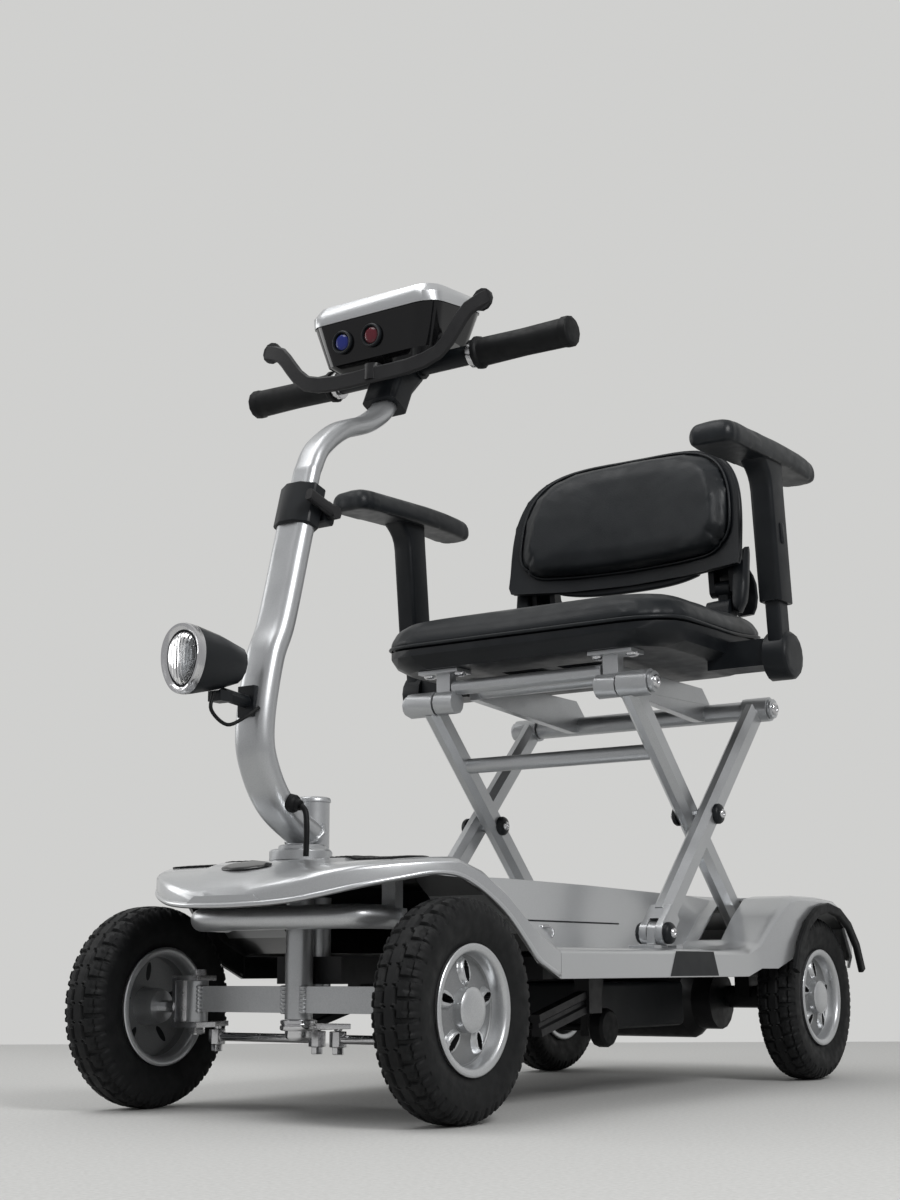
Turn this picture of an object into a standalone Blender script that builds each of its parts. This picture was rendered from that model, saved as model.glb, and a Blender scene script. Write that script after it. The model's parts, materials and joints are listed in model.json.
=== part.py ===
"""Folding four-wheel mobility scooter, as separate solids in metres.

X is the rider's left, the scooter drives towards -Y and Z is up. Until the last step y is
measured from the front axle; then the whole part moves so that the middle of its box is at y = 0.
"""

import math

import bmesh
import bpy
from mathutils import Matrix, Vector

# Frame and gaps
GAP = 0.0003
RUN = 0.0006
LARGE = 16
MEDIUM = 12
SMALL = 8

# Wheels: the tyre's 200 mm is the size that the whole photograph was scaled by
WHEEL_R = 0.100
TYRE_W = 0.050
RIM_R = 0.0575
RIM_W = 0.041
AXLE_R = 0.006
WHEELBASE = 0.7826
HALF_TRACK = 0.1877
SPOKES = 5
TRANSIT_X = 0.112
TRANSIT_Y = 0.403
TRANSIT_Z = 0.072
TRANSIT_R = 0.021
TYRE_STEPS = 24
RIM_STEPS = 18
DISC_STEPS = 10
HUB_OUT = 0.016
HUB_IN = 0.018
HUB_R = 0.019
CAP_R = 0.020

# Steering: one upright shaft, two kingpins and two rods that make two parallelograms
STEER_Y = 0.010
KING_X = 0.131
KING_R = 0.011
KING_LOW = 0.085
KING_TOP = 0.125
HEAD_R = 0.0135
SHAFT_R = 0.009
HEAD_LOW = 0.089
BEAM_LOW = 0.095
BEAM_TOP = 0.120
ARM_REACH = 0.045
BALL_X = 0.013
ROD_Z = 0.069
ROD_R = 0.0045
BALL_R = 0.0075
PLATE = 0.005

# Tiller: an oval lower pole with a slimmer one that slides in it
POLE_W = 0.042
POLE_D = 0.025
UPPER_W = 0.031
UPPER_D = 0.0195
POLE_AXIS = Vector((0.0, 0.263, 0.965)).normalized()
POLE_TOP = Vector((0.0, 0.0045, 0.610))
POLE_INSERT = 0.125
COLLAR_H = 0.046
COLLAR_T = 0.0045
DECK_Z = 0.2395
MAT_T = 0.0033
BADGE_W = 0.030
BADGE_H = 0.012
RING_R = 0.031
RING_H = 0.011
HEAD_TOP = DECK_Z + RING_H
SLEEVE_Y = 0.028
SLEEVE_R = 0.0165
SLEEVE_TOP = 0.303

# Handlebar and console
BAR_Y = 0.182
BAR_Z = 0.794
BAR_R = 0.0105
BAR_HALF = 0.219
GRIP_IN = 0.098
GRIP_R = 0.0158
CONSOLE_W = 0.085
BUTTON_R = 0.0095
BUTTON_X = (-0.037, 0.003)
PADDLE_Y = 0.118
PADDLE_PIVOT_Y = 0.123
PADDLE_Z = 0.770
PADDLE_TIP = 0.152
PADDLE_W = 0.018
PADDLE_T = 0.005

# Head lamp on the front of the tiller
LAMP_Z = 0.416
LAMP_FRONT = -0.166
LAMP_W = 0.024
LAMP_H = 0.033
CABLE_R = 0.0028

# Body
COVER_T = 0.004
DECK_HALF = 0.217
SILL_HALF = 0.205
FLOOR_Z = 0.157
BOX_Z = 0.228
BOX_HALF = 0.098
LIP = 0.031
NOSE = -0.1025
COVER_SPLIT = 0.160
BODY_BACK = WHEELBASE + 0.1104
AXLE_TO_MIDDLE = (BODY_BACK + LAMP_FRONT - 0.006) / 2
RAIL_X = 0.110
RAIL_LOW = 0.126
FENDER_Z = 0.223
ARCH_R = 0.109
SLOT_FRONT = WHEELBASE - 0.1646
SLOT_BACK = WHEELBASE - 0.0406

# Scissor legs and seat
PIVOT_FRONT = 0.430
PIVOT_BACK = WHEELBASE - 0.0706
PIVOT_LOW = 0.174
PIVOT_HIGH = 0.457
LEG_D = 0.030
LEG_W = 0.022
INNER_X = 0.139
OUTER_X = 0.166
PIN_R = 0.006
SEAT_Y = 0.545
SEAT_HALF_W = 0.205
SEAT_HALF_D = 0.150
SHELL_Z = 0.498
PAD_RINGS = (0.965, 0.65, 0.30, 0.06)
CUSHION_Z = 0.5265
BACK_Y = 0.705
BACK_Z = 0.730
BACK_HALF_W = 0.174
BACK_HALF_H = 0.088
BACK_PIVOT = Vector((0.0, 0.706, 0.618))
HINGE_X = 0.135
HINGE_HALF = 0.010
HINGE_R = 0.0115
DRUM = Vector((0.279, 0.586, 0.499))
DRUM_R = 0.029
DRUM_T = 0.030
POST_LEAN = 0.10
POST_W = 0.026
POST_D = 0.036
ARM_PAD_Z = 0.728
ARM_LIFT = 0.0075
ARM_TILT = 0.05
ARM_Y = 0.540


def clear_scene():
    for obj in list(bpy.data.objects):
        bpy.data.objects.remove(obj, do_unlink=True)


def is_flat(face):
    middle = face.calc_center_median()
    return all(abs((vert.co - middle).dot(face.normal)) < 1e-7 for vert in face.verts)


def solid(name, points, faces):
    """One object from points and faces, with every face turned outward."""
    mesh = bpy.data.meshes.new(name)
    mesh.from_pydata([tuple(p) for p in points], [], faces)
    work = bmesh.new()
    work.from_mesh(mesh)
    bmesh.ops.remove_doubles(work, verts=work.verts, dist=1e-6)
    work.normal_update()
    bmesh.ops.triangulate(work, faces=[face for face in work.faces if not is_flat(face)])
    bmesh.ops.recalc_face_normals(work, faces=work.faces)
    work.to_mesh(mesh)
    work.free()
    obj = bpy.data.objects.new(name, mesh)
    bpy.context.scene.collection.objects.link(obj)
    return obj


def loft(name, rings, closed=False):
    """A solid through rings of equally many points, capped at both ends or joined end to end."""
    count = len(rings[0])
    points = [p for ring in rings for p in ring]
    faces = []
    for i in range(len(rings) - (0 if closed else 1)):
        a = i * count
        b = (i + 1) % len(rings) * count
        for k in range(count):
            n = (k + 1) % count
            faces.append((a + k, a + n, b + n, b + k))
    if not closed:
        faces.append(tuple(range(count)))
        faces.append(tuple(range(len(points) - count, len(points))))
    return solid(name, points, faces)


def prism(name, outline, low, high, axis="x"):
    """An outline pushed along an axis; its points are (y, z), (x, z) or (x, y)."""
    order = {"x": lambda t, a, b: (t, a, b), "y": lambda t, a, b: (a, t, b), "z": lambda t, a, b: (a, b, t)}
    return loft(name, [[order[axis](t, a, b) for a, b in outline] for t in (low, high)])


def box(name, low, high):
    outline = [(low[1], low[2]), (high[1], low[2]), (high[1], high[2]), (low[1], high[2])]
    return prism(name, outline, low[0], high[0])


def turned(axis):
    """Two unit vectors square to an axis."""
    axis = Vector(axis).normalized()
    first = axis.cross(Vector((0, 0, 1)) if abs(axis.z) < 0.9 else Vector((0, 1, 0))).normalized()
    return first, axis.cross(first)


def revolve(name, profile, centre, axis, steps, notch=None):
    """A ring whose closed section is (distance along the axis, radius), turned about the axis."""
    u, v = turned(axis)
    axis = Vector(axis).normalized()
    rings = []
    for k in range(steps):
        angle = 2 * math.pi * k / steps
        out = u * math.cos(angle) + v * math.sin(angle)
        section = notch(k) if notch else profile
        rings.append([Vector(centre) + axis * a + out * r for a, r in section])
    return loft(name, rings, closed=True)


def spindle(name, profile, centre, axis, steps):
    """A full round bar: (distance, radius) from end to end, with flat ends."""
    u, v = turned(axis)
    axis = Vector(axis).normalized()
    rings = []
    for a, r in profile:
        turn = [2 * math.pi * k / steps for k in range(steps)]
        rings.append([Vector(centre) + axis * a + (u * math.cos(t) + v * math.sin(t)) * r for t in turn])
    return loft(name, rings)


def rod(name, start, end, radius, steps=MEDIUM):
    start = Vector(start)
    along = Vector(end) - start
    return spindle(name, [(0, radius), (along.length, radius)], start, along, steps)


def smooth(points, per):
    """A Catmull-Rom curve through points, with `per` steps between neighbours."""
    pts = [Vector(p) for p in points]
    ends = [2 * pts[0] - pts[1]] + pts + [2 * pts[-1] - pts[-2]]
    curve = []
    for i in range(1, len(ends) - 2):
        a, b, c, d = ends[i - 1 : i + 3]
        for k in range(per):
            t = k / per
            curve.append(0.5 * (2 * b + (c - a) * t + (2 * a - 5 * b + 4 * c - d) * t**2
                                + (3 * b - a - 3 * c + d) * t**3))
    return curve + [pts[-1]]


def sweep(name, path, section, side=None):
    """A section of (sideways, upward) points carried along a path without twisting."""
    path = [Vector(p) for p in path]
    count = len(path)
    rings = []
    across = Vector(side) if side else turned(path[1] - path[0])[0]
    for i, point in enumerate(path):
        along = (path[min(i + 1, count - 1)] - path[max(i - 1, 0)]).normalized()
        across = (across - along * across.dot(along)).normalized()
        up = along.cross(across)
        rings.append([point + across * s + up * n for s, n in section])
    return loft(name, rings)


def circle(radius, steps):
    return [(radius * math.cos(2 * math.pi * k / steps), radius * math.sin(2 * math.pi * k / steps))
            for k in range(steps)]


def oval(width, depth, steps=3):
    """A flat-sided oval: two half circles joined by straight sides."""
    r = depth / 2
    reach = width / 2 - r
    right = [(reach + r * math.cos(a), r * math.sin(a)) for a in arc(-90, 90, steps)]
    return right + [(-s, -n) for s, n in right]


def arc(start, end, steps):
    return [math.radians(start + (end - start) * k / steps) for k in range(steps + 1)]


def rounded(half_a, half_b, radius, steps=4):
    """A rectangle with round corners about the origin."""
    points = []
    for a, b, start in ((1, 1, 0), (-1, 1, 90), (-1, -1, 180), (1, -1, 270)):
        for t in arc(start, start + 90, steps):
            points.append((a * (half_a - radius) + radius * math.cos(t),
                           b * (half_b - radius) + radius * math.sin(t)))
    return points


def settle(obj):
    """Turn an object's modifiers into its mesh."""
    graph = bpy.context.evaluated_depsgraph_get()
    graph.update()
    mesh = bpy.data.meshes.new_from_object(obj.evaluated_get(graph))
    obj.modifiers.clear()
    obj.data = mesh
    return obj


def boolean(obj, tools, operation):
    for tool in tools:
        step = obj.modifiers.new("Boolean", "BOOLEAN")
        step.operation = operation
        step.solver = "EXACT"
        step.object = tool
    settle(obj)
    for tool in tools:
        bpy.data.objects.remove(tool, do_unlink=True)
    return obj


def join(obj, *tools):
    return boolean(obj, tools, "UNION")


def cut(obj, *tools):
    return boolean(obj, tools, "DIFFERENCE")


def group(name, objects):
    """Several separate solids in one mesh, to cut with in one go."""
    work = bmesh.new()
    for obj in objects:
        work.from_mesh(obj.data)
        bpy.data.objects.remove(obj, do_unlink=True)
    mesh = bpy.data.meshes.new(name)
    work.to_mesh(mesh)
    work.free()
    obj = bpy.data.objects.new(name, mesh)
    bpy.context.scene.collection.objects.link(obj)
    return obj


def soften(obj, width, segments=2, angle=40):
    """Round the edges sharper than an angle."""
    step = obj.modifiers.new("Bevel", "BEVEL")
    step.width = width
    step.segments = segments
    step.limit_method = "ANGLE"
    step.angle_limit = math.radians(angle)
    step.use_clamp_overlap = True
    return settle(obj)


def sides():
    return (("l", 1), ("r", -1))


# Wheels

def tyre(name, centre, side):
    half = TYRE_W / 2
    seat = RIM_R + 2 * GAP

    def section(k):
        dip = 0.0032 if k % 3 == 0 else 0.0
        right = [
            (RIM_W / 2 - 0.001, seat),
            (half - 0.002, seat + 0.010),
            (half, WHEEL_R - 0.021),
            (half - 0.0010 - dip / 2, WHEEL_R - 0.010),
            (half - 0.0065, WHEEL_R - 0.0028 - dip),
            (0.0095, WHEEL_R - 0.0012 - dip / 2),
            (0.0072, WHEEL_R - 0.0050),
            (0.0048, WHEEL_R),
        ]
        return right + [(-a, r) for a, r in reversed(right)]

    return revolve(name, None, centre, (side, 0, 0), TYRE_STEPS, section)


def rim(name, centre, side):
    """A cast rim: flanged barrel, dished five-spoke disc with slots, hub and domed cap."""
    lip = RIM_W / 2
    bore = AXLE_R + RUN
    half = [
        (0.0090, RIM_R - 0.0068),
        (lip + 0.003, RIM_R - 0.0030),
        (lip + 0.003, RIM_R + 0.0012),
        (lip - 0.001, RIM_R - GAP),
    ]
    barrel = revolve("barrel", half + [(-a, r) for a, r in reversed(half)], centre, (side, 0, 0), RIM_STEPS)
    disc = [
        (-HUB_IN, bore),
        (HUB_OUT, bore),
        (HUB_OUT - 0.003, HUB_R),
        (0.0075, RIM_R - 0.0022),
        (0.0005, RIM_R - 0.0022),
        (0.0040, HUB_R),
        (-HUB_IN, HUB_R - 0.003),
    ]
    body = revolve(name, disc, centre, (side, 0, 0), DISC_STEPS)
    low = HUB_R + 0.0045
    high = RIM_R - 0.0100
    holes = []
    for k in range(SPOKES):
        turn = 360 / SPOKES * k
        slot = [(low + 0.002, -0.0014), (low + 0.002, 0.0014), (low + 0.004, 0.0026), (high - 0.003, 0.0028),
                (high - 0.001, 0.0016), (high - 0.001, -0.0016), (high - 0.003, -0.0028),
                (low + 0.004, -0.0026)]
        c, s = math.cos(math.radians(turn)), math.sin(math.radians(turn))
        outline = [(centre[1] + r * s + w * c, centre[2] + r * c - w * s) for r, w in slot]
        holes.append(prism("hole", outline, centre[0] - 0.03, centre[0] + 0.03))
    cut(body, group("holes", holes))
    base = HUB_OUT - 0.001
    dome = [(base, CAP_R), (base + 0.007, CAP_R - 0.0015), (base + 0.0095, CAP_R - 0.008)]
    return join(body, barrel, spindle("cap", dome, centre, (side, 0, 0), LARGE))


def wheels():
    for end, y in (("front", 0.0), ("rear", WHEELBASE)):
        for tag, side in sides():
            centre = (side * HALF_TRACK, y, WHEEL_R)
            tyre(f"{end}_tyre_{tag}", centre, side)
            rim(f"{end}_rim_{tag}", centre, side)


def transit_wheels():
    """Two small wheels on one axle, which the scooter rolls on when it is folded."""
    x = TRANSIT_X
    right = [(0.0, 0.004), (x - 0.009, 0.004), (x - 0.009, 0.018), (x - 0.006, TRANSIT_R),
             (x + 0.006, TRANSIT_R), (x + 0.009, 0.018)]
    profile = [(-a, r) for a, r in reversed(right[1:])] + right[1:]
    return spindle("transit_wheels", profile, (0, TRANSIT_Y, TRANSIT_Z), (1, 0, 0), MEDIUM)


# Steering

def front_axle():
    """Head tube with its ring on the deck, stay tube and axle beam with the two kingpin tubes."""
    profile = [(HEAD_LOW, HEAD_R), (DECK_Z + GAP, HEAD_R), (DECK_Z + GAP, RING_R),
               (HEAD_TOP - 0.002, RING_R), (HEAD_TOP, RING_R - 0.002)]
    obj = spindle("front_axle", profile, (0, STEER_Y, 0), (0, 0, 1), LARGE)
    beam = box("beam", (-KING_X, STEER_Y - 0.008, BEAM_LOW), (KING_X, STEER_Y + 0.008, BEAM_TOP))
    stay = rod("stay", (0, STEER_Y + 0.029, BEAM_LOW), (0, STEER_Y + 0.029, 0.205), 0.0125, MEDIUM)
    bridge = box("bridge", (-0.010, STEER_Y, BEAM_LOW + 0.004), (0.010, STEER_Y + 0.029, BEAM_TOP - 0.004))
    pins = [rod("pin", (s * KING_X, STEER_Y, KING_LOW), (s * KING_X, STEER_Y, KING_TOP), KING_R, MEDIUM)
            for _, s in sides()]
    join(obj, beam, stay, bridge, *pins)
    bores = [
        rod("bore", (s * KING_X, STEER_Y, KING_LOW - 0.01), (s * KING_X, STEER_Y, KING_TOP + 0.01), 0.0056,
            SMALL)
        for _, s in sides()
    ]
    shaft = rod("bore", (0, STEER_Y, HEAD_LOW - 0.01), (0, STEER_Y, HEAD_TOP + 0.01), SHAFT_R + RUN, MEDIUM)
    return cut(obj, group("bores", bores + [shaft]))


def knuckle(name, side):
    """A C bracket round the kingpin tube with the bolt, the stub axle and the steering arm."""
    x = side * KING_X
    low = KING_LOW - GAP
    top = KING_TOP + GAP
    web_in = x + side * (KING_R + 0.006)
    web_out = web_in + side * PLATE
    outline = [(STEER_Y - 0.014, low - PLATE), (STEER_Y + 0.014, low - PLATE),
               (STEER_Y + 0.014, top + PLATE), (STEER_Y - 0.014, top + PLATE)]
    obj = prism(name, outline, min(x - side * 0.012, web_out), max(x - side * 0.012, web_out))
    space = box(
        "space",
        (min(x - side * 0.03, web_in), STEER_Y - 0.03, low),
        (max(x - side * 0.03, web_in), STEER_Y + 0.03, top),
    )
    cut(obj, space)
    bolt = rod("bolt", (x, STEER_Y, low - PLATE - 0.007), (x, STEER_Y, top + PLATE + 0.004), 0.005, SMALL)
    head = rod("head", (x, STEER_Y, top + PLATE - 0.001), (x, STEER_Y, top + PLATE + 0.006), 0.0085, 6)
    nut = rod("nut", (x, STEER_Y, low - PLATE - 0.006), (x, STEER_Y, low - PLATE + 0.001), 0.0085, 6)
    stub = rod("stub", (web_in + side * 0.002, 0, WHEEL_R),
               (side * (HALF_TRACK + HUB_OUT - 0.001), 0, WHEEL_R), AXLE_R, SMALL)
    ball_x = x + side * BALL_X
    arm = prism(
        "arm",
        [(x - side * 0.004, STEER_Y + 0.008), (ball_x - side * 0.008, STEER_Y + ARM_REACH + 0.008),
         (ball_x + side * 0.008, STEER_Y + ARM_REACH + 0.008), (web_out - side * 0.001, STEER_Y + 0.008)],
        low - PLATE, low, "z",
    )
    stud = rod("stud", (ball_x, STEER_Y + ARM_REACH, ROD_Z + BALL_R + GAP),
               (ball_x, STEER_Y + ARM_REACH, low - 0.001), 0.004, 10)
    return join(obj, bolt, head, nut, stub, arm, stud)


def steering_shaft():
    """The upright shaft, its bearing nuts below the head tube and the drop arm behind it."""
    arm_low = HEAD_LOW - GAP - 0.010
    obj = spindle(
        "steering_shaft",
        [(arm_low - 0.010, 0.010), (arm_low - 0.006, 0.013), (arm_low + 0.0097, 0.013)],
        (0, STEER_Y, 0), (0, 0, 1), 16,
    )
    shaft = rod("shaft", (0, STEER_Y, arm_low), (0, STEER_Y, HEAD_TOP + 0.002), SHAFT_R, MEDIUM)
    back = STEER_Y + ARM_REACH + 0.009
    arm = prism(
        "arm", [(-0.012, STEER_Y), (-BALL_X - 0.009, back), (BALL_X + 0.009, back), (0.012, STEER_Y)],
        arm_low, arm_low + PLATE, "z",
    )
    studs = [
        rod("stud", (s * BALL_X, STEER_Y + ARM_REACH, ROD_Z + BALL_R + GAP),
            (s * BALL_X, STEER_Y + ARM_REACH, arm_low + 0.001), 0.004, 10)
        for _, s in sides()
    ]
    return join(obj, shaft, arm, *studs)


def tie_rod(name, side):
    """A rod with a ball end at the drop arm and one at the knuckle, each with its nut below."""
    y = STEER_Y + ARM_REACH
    ends = (side * BALL_X, side * (KING_X + BALL_X))
    obj = rod(name, (ends[0], y, ROD_Z), (ends[1], y, ROD_Z), ROD_R, 10)
    parts = []
    for x in ends:
        parts.append(rod("ball", (x, y, ROD_Z - BALL_R), (x, y, ROD_Z + BALL_R), 0.0085, SMALL))
        parts.append(rod("nut", (x, y, ROD_Z - BALL_R - 0.007), (x, y, ROD_Z - BALL_R + 0.001), 0.006, 6))
    return join(obj, *parts)


def front_end():
    front_axle()
    steering_shaft()
    for tag, side in sides():
        knuckle(f"knuckle_{tag}", side)
        tie_rod(f"tie_rod_{tag}", side)


# Tiller

def lower_path():
    return smooth(
        [
            (0, 0.020, 0.263), (0, -0.028, 0.290), (0, -0.055, 0.327), (0, -0.062, 0.365),
            (0, -0.050, 0.430), POLE_TOP - POLE_AXIS * (POLE_INSERT + 0.02),
            POLE_TOP - POLE_AXIS * 0.06, POLE_TOP,
        ],
        2,
    )


def upper_path():
    straight = [POLE_TOP + POLE_AXIS * d for d in (-POLE_INSERT, -0.05, 0.015)]
    bend = [(0, 0.014, 0.640), (0, 0.028, 0.664), (0, 0.063, 0.692), (0, 0.107, 0.711), (0, 0.139, 0.735),
            (0, 0.155, 0.765)]
    return straight[:2] + smooth(straight[2:] + bend, 2)


def tiller_lower():
    """The foot on the deck ring, the capped sleeve and the bent oval pole welded to it."""
    pole = sweep("tiller_lower", lower_path(), oval(POLE_W, POLE_D), (1, 0, 0))
    foot_low = HEAD_TOP + GAP
    foot = spindle("foot", [(0, 0.024), (0.010, 0.021)], (0, STEER_Y + 0.002, foot_low), (0, 0, 1), MEDIUM)
    profile = [(0, SLEEVE_R), (SLEEVE_TOP - foot_low - 0.004, SLEEVE_R),
               (SLEEVE_TOP - foot_low - 0.004, SLEEVE_R + 0.001), (SLEEVE_TOP - foot_low, SLEEVE_R - 0.001)]
    sleeve = spindle("sleeve", profile, (0, SLEEVE_Y, foot_low), (0, 0, 1), MEDIUM)
    grommet = spindle("grommet", [(-0.004, 0.0085), (0.004, 0.0085), (0.010, 0.0055)],
                      (POLE_W / 2, -0.030, 0.292), (1, 0, -0.25), SMALL)
    join(pole, foot, sleeve, grommet)
    inner = [POLE_TOP - POLE_AXIS * (POLE_INSERT + 0.004), POLE_TOP + POLE_AXIS * 0.01]
    socket = rod("socket", (0, STEER_Y, foot_low - 0.01), (0, STEER_Y, foot_low + 0.004), SHAFT_R + GAP,
                 MEDIUM)
    return cut(pole, sweep("bore", inner, oval(UPPER_W + 2 * RUN, UPPER_D + 2 * RUN), (1, 0, 0)), socket)


def tiller_upper():
    return sweep("tiller_upper", upper_path(), oval(UPPER_W, UPPER_D), (1, 0, 0))


def collar():
    """The black clamp ring round the top of the lower pole, split at the back with two lugs."""
    low = POLE_TOP - POLE_AXIS * (COLLAR_H - 0.006)
    high = POLE_TOP + POLE_AXIS * 0.006
    obj = sweep("collar", [low, high], oval(POLE_W + 2 * COLLAR_T, POLE_D + 2 * COLLAR_T), (1, 0, 0))
    soften(obj, 0.0015, 1)
    square = POLE_AXIS.cross(Vector((1, 0, 0)))
    middle = (low + high) / 2 + square * (POLE_D / 2 + 0.006)
    reach = Vector((POLE_W / 2 + COLLAR_T, 0, 0))
    lug = sweep(
        "lug", [middle + reach, middle - reach * 0.7],
        rounded(0.008, 0.012, 0.004, 2), POLE_AXIS.cross(Vector((1, 0, 0))),
    )
    join(obj, lug)
    shell = sweep("bore", [low - POLE_AXIS * 0.01, POLE_TOP + POLE_AXIS * 0.0006],
                  oval(POLE_W + 2 * GAP, POLE_D + 2 * GAP), (1, 0, 0))
    neck = sweep("bore", [low, high + POLE_AXIS * 0.01], oval(UPPER_W + 2 * RUN, UPPER_D + 2 * RUN),
                 (1, 0, 0))
    return cut(obj, shell, neck)


def collar_lever():
    """The quick-release lever: a round head beside the lugs and a flat arm up the collar's side."""
    square = POLE_AXIS.cross(Vector((1, 0, 0)))
    middle = POLE_TOP - POLE_AXIS * (COLLAR_H / 2 - 0.006) + square * (POLE_D / 2 + 0.006)
    start = middle + Vector((POLE_W / 2 + COLLAR_T + GAP, 0, 0))
    obj = rod("collar_lever", start, start + Vector((0.009, 0, 0)), 0.0075, SMALL)
    reach = [start + Vector((0.0047, 0, 0)) - square * d for d in (0.0, 0.022, 0.042)]
    arm = sweep("arm", reach, rounded(0.0042, 0.006, 0.003, 2), (1, 0, 0))
    return join(obj, arm)


# Handlebar

def handlebar():
    """The bar with a bright ring beside each grip, and the two rubber grips."""
    ring = GRIP_IN - GAP
    half = [(ring - 0.007, BAR_R), (ring - 0.007, GRIP_R), (ring, GRIP_R), (ring, BAR_R),
            (BAR_HALF - 0.005, BAR_R)]
    bar = [(-a, r) for a, r in reversed(half)] + half
    spindle("handlebar", bar, (0, BAR_Y, BAR_Z), (1, 0, 0), MEDIUM)
    for tag, side in sides():
        bore = BAR_R + GAP
        length = BAR_HALF - GRIP_IN
        profile = [
            (0, GRIP_R + 0.0025), (0.005, GRIP_R + 0.0025), (0.007, GRIP_R),
            (length * 0.5, GRIP_R - 0.0008), (length - 0.012, GRIP_R), (length - 0.010, GRIP_R + 0.001),
            (length - 0.002, GRIP_R + 0.001), (length, GRIP_R - 0.002),
        ]
        grip = spindle(f"grip_{tag}", profile, (side * GRIP_IN, BAR_Y, BAR_Z), (side, 0, 0), MEDIUM)
        cut(grip, rod("bore", (side * (GRIP_IN - 0.01), BAR_Y, BAR_Z),
                      (side * (BAR_HALF - 0.0045), BAR_Y, BAR_Z), bore, MEDIUM))


def stem_clamp():
    """The black clamp that grips the bar on top of the upper pole."""
    top = upper_path()[-1]
    lean = (upper_path()[-1] - upper_path()[-2]).normalized()
    start = top - lean * 0.028
    end = Vector((0, BAR_Y - 0.004, BAR_Z - 0.004))
    obj = sweep("stem_clamp", [start, top + lean * 0.002, end], rounded(0.022, 0.016, 0.006, 3), (1, 0, 0))
    barrel = rod("barrel", (-0.024, BAR_Y, BAR_Z), (0.024, BAR_Y, BAR_Z), BAR_R + 0.0045, MEDIUM)
    join(obj, barrel)
    bore = rod("bore", (-0.05, BAR_Y, BAR_Z), (0.05, BAR_Y, BAR_Z), BAR_R + GAP, MEDIUM)
    path = [p for p in upper_path() if (p - top).length < 0.045] + [top + lean * GAP]
    return cut(obj, bore, sweep("bore", path, oval(UPPER_W + 2 * GAP, UPPER_D + 2 * GAP), (1, 0, 0)))


def console_rings(levels):
    """Rounded outlines (half width, front, back) at rising heights that lean with the console."""
    rings = []
    for half, front, back, low_z, rise in levels:
        middle = (front + back) / 2
        ring = []
        for a, b in rounded(half, (back - front) / 2, 0.022, 4):
            ring.append((a, middle + b, low_z + rise * (b + (back - front) / 2) / (back - front)))
        rings.append(ring)
    return rings


def console():
    under = BAR_Z + BAR_R + 0.0045 + GAP
    base = loft(
        "console_base",
        console_rings([
            (CONSOLE_W * 0.72, 0.130, 0.212, 0.783, 0.027),
            (CONSOLE_W * 0.84, 0.120, 0.216, 0.791, 0.027),
            (CONSOLE_W, 0.113, 0.219, 0.838, 0.014),
        ]),
    )
    cut(base, box("room", (-0.12, BAR_Y - 0.032, 0.70), (0.12, 0.30, under)))
    pits = [rod("pit", (x, 0.150, 0.818), (x, 0.090, 0.812), BUTTON_R + GAP, MEDIUM) for x in BUTTON_X]
    stops = [box("stop", (x - 0.02, 0.126, 0.78), (x + 0.02, 0.20, 0.85)) for x in BUTTON_X]
    for pit, stop in zip(pits, stops):
        cut(pit, stop)
    cut(base, *pits)
    loft(
        "console_cover",
        console_rings([
            (CONSOLE_W + 0.001, 0.112, 0.220, 0.838 + GAP, 0.014),
            (CONSOLE_W + 0.001, 0.111, 0.221, 0.850, 0.012),
            (CONSOLE_W - 0.004, 0.117, 0.216, 0.861, 0.008),
            (CONSOLE_W - 0.016, 0.130, 0.205, 0.866, 0.006),
        ]),
    )
    for name, x in zip(("button_blue", "button_red"), BUTTON_X):
        middle = Vector((x, 0.126 - GAP, 0.8156))
        out = Vector((0, -0.060, -0.006)).normalized()
        profile = [(0.0045, BUTTON_R - GAP), (0.0115, BUTTON_R - GAP), (0.0130, BUTTON_R - 0.003)]
        spindle(name, profile, middle, out, MEDIUM)


def paddle():
    """The wig-wag speed lever: an upright wide-U plate with round thumb ends, on a hub under the console."""
    half = [
        (0.0, PADDLE_Y, PADDLE_Z), (0.050, PADDLE_Y, PADDLE_Z), (0.090, PADDLE_Y, PADDLE_Z + 0.008),
        (0.112, PADDLE_Y, PADDLE_Z + 0.030), (0.128, PADDLE_Y + 0.001, PADDLE_Z + 0.049),
        (PADDLE_TIP, PADDLE_Y + 0.004, PADDLE_Z + 0.058),
    ]
    path = [(-x, y, z) for x, y, z in reversed(half[1:])] + half
    obj = sweep("throttle_paddle", smooth(path, 2), rounded(PADDLE_T / 2, PADDLE_W / 2, 0.002, 1),
                (0, 1, 0))
    for _, side in sides():
        lobe = (side * (PADDLE_TIP - 0.008), PADDLE_Y + 0.004, PADDLE_Z + 0.056)
        thick = Vector((0, PADDLE_T / 2 - 0.0004, 0))
        join(obj, rod("lobe", Vector(lobe) - thick, Vector(lobe) + thick, PADDLE_W * 0.68, MEDIUM))
    hub = rod("hub", (0, PADDLE_PIVOT_Y, PADDLE_Z - 0.005), (0, PADDLE_PIVOT_Y, 0.783 - GAP), 0.010, MEDIUM)
    return join(obj, hub)


# Head lamp

def lamp_ring(y, half_w, half_h, z=LAMP_Z, steps=14):
    """An egg outline, wider above the middle."""
    points = []
    for k in range(steps):
        t = 2 * math.pi * k / steps
        points.append((half_w * math.cos(t) * (1 + 0.13 * math.sin(t)), y, z + half_h * math.sin(t)))
    return points


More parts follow.
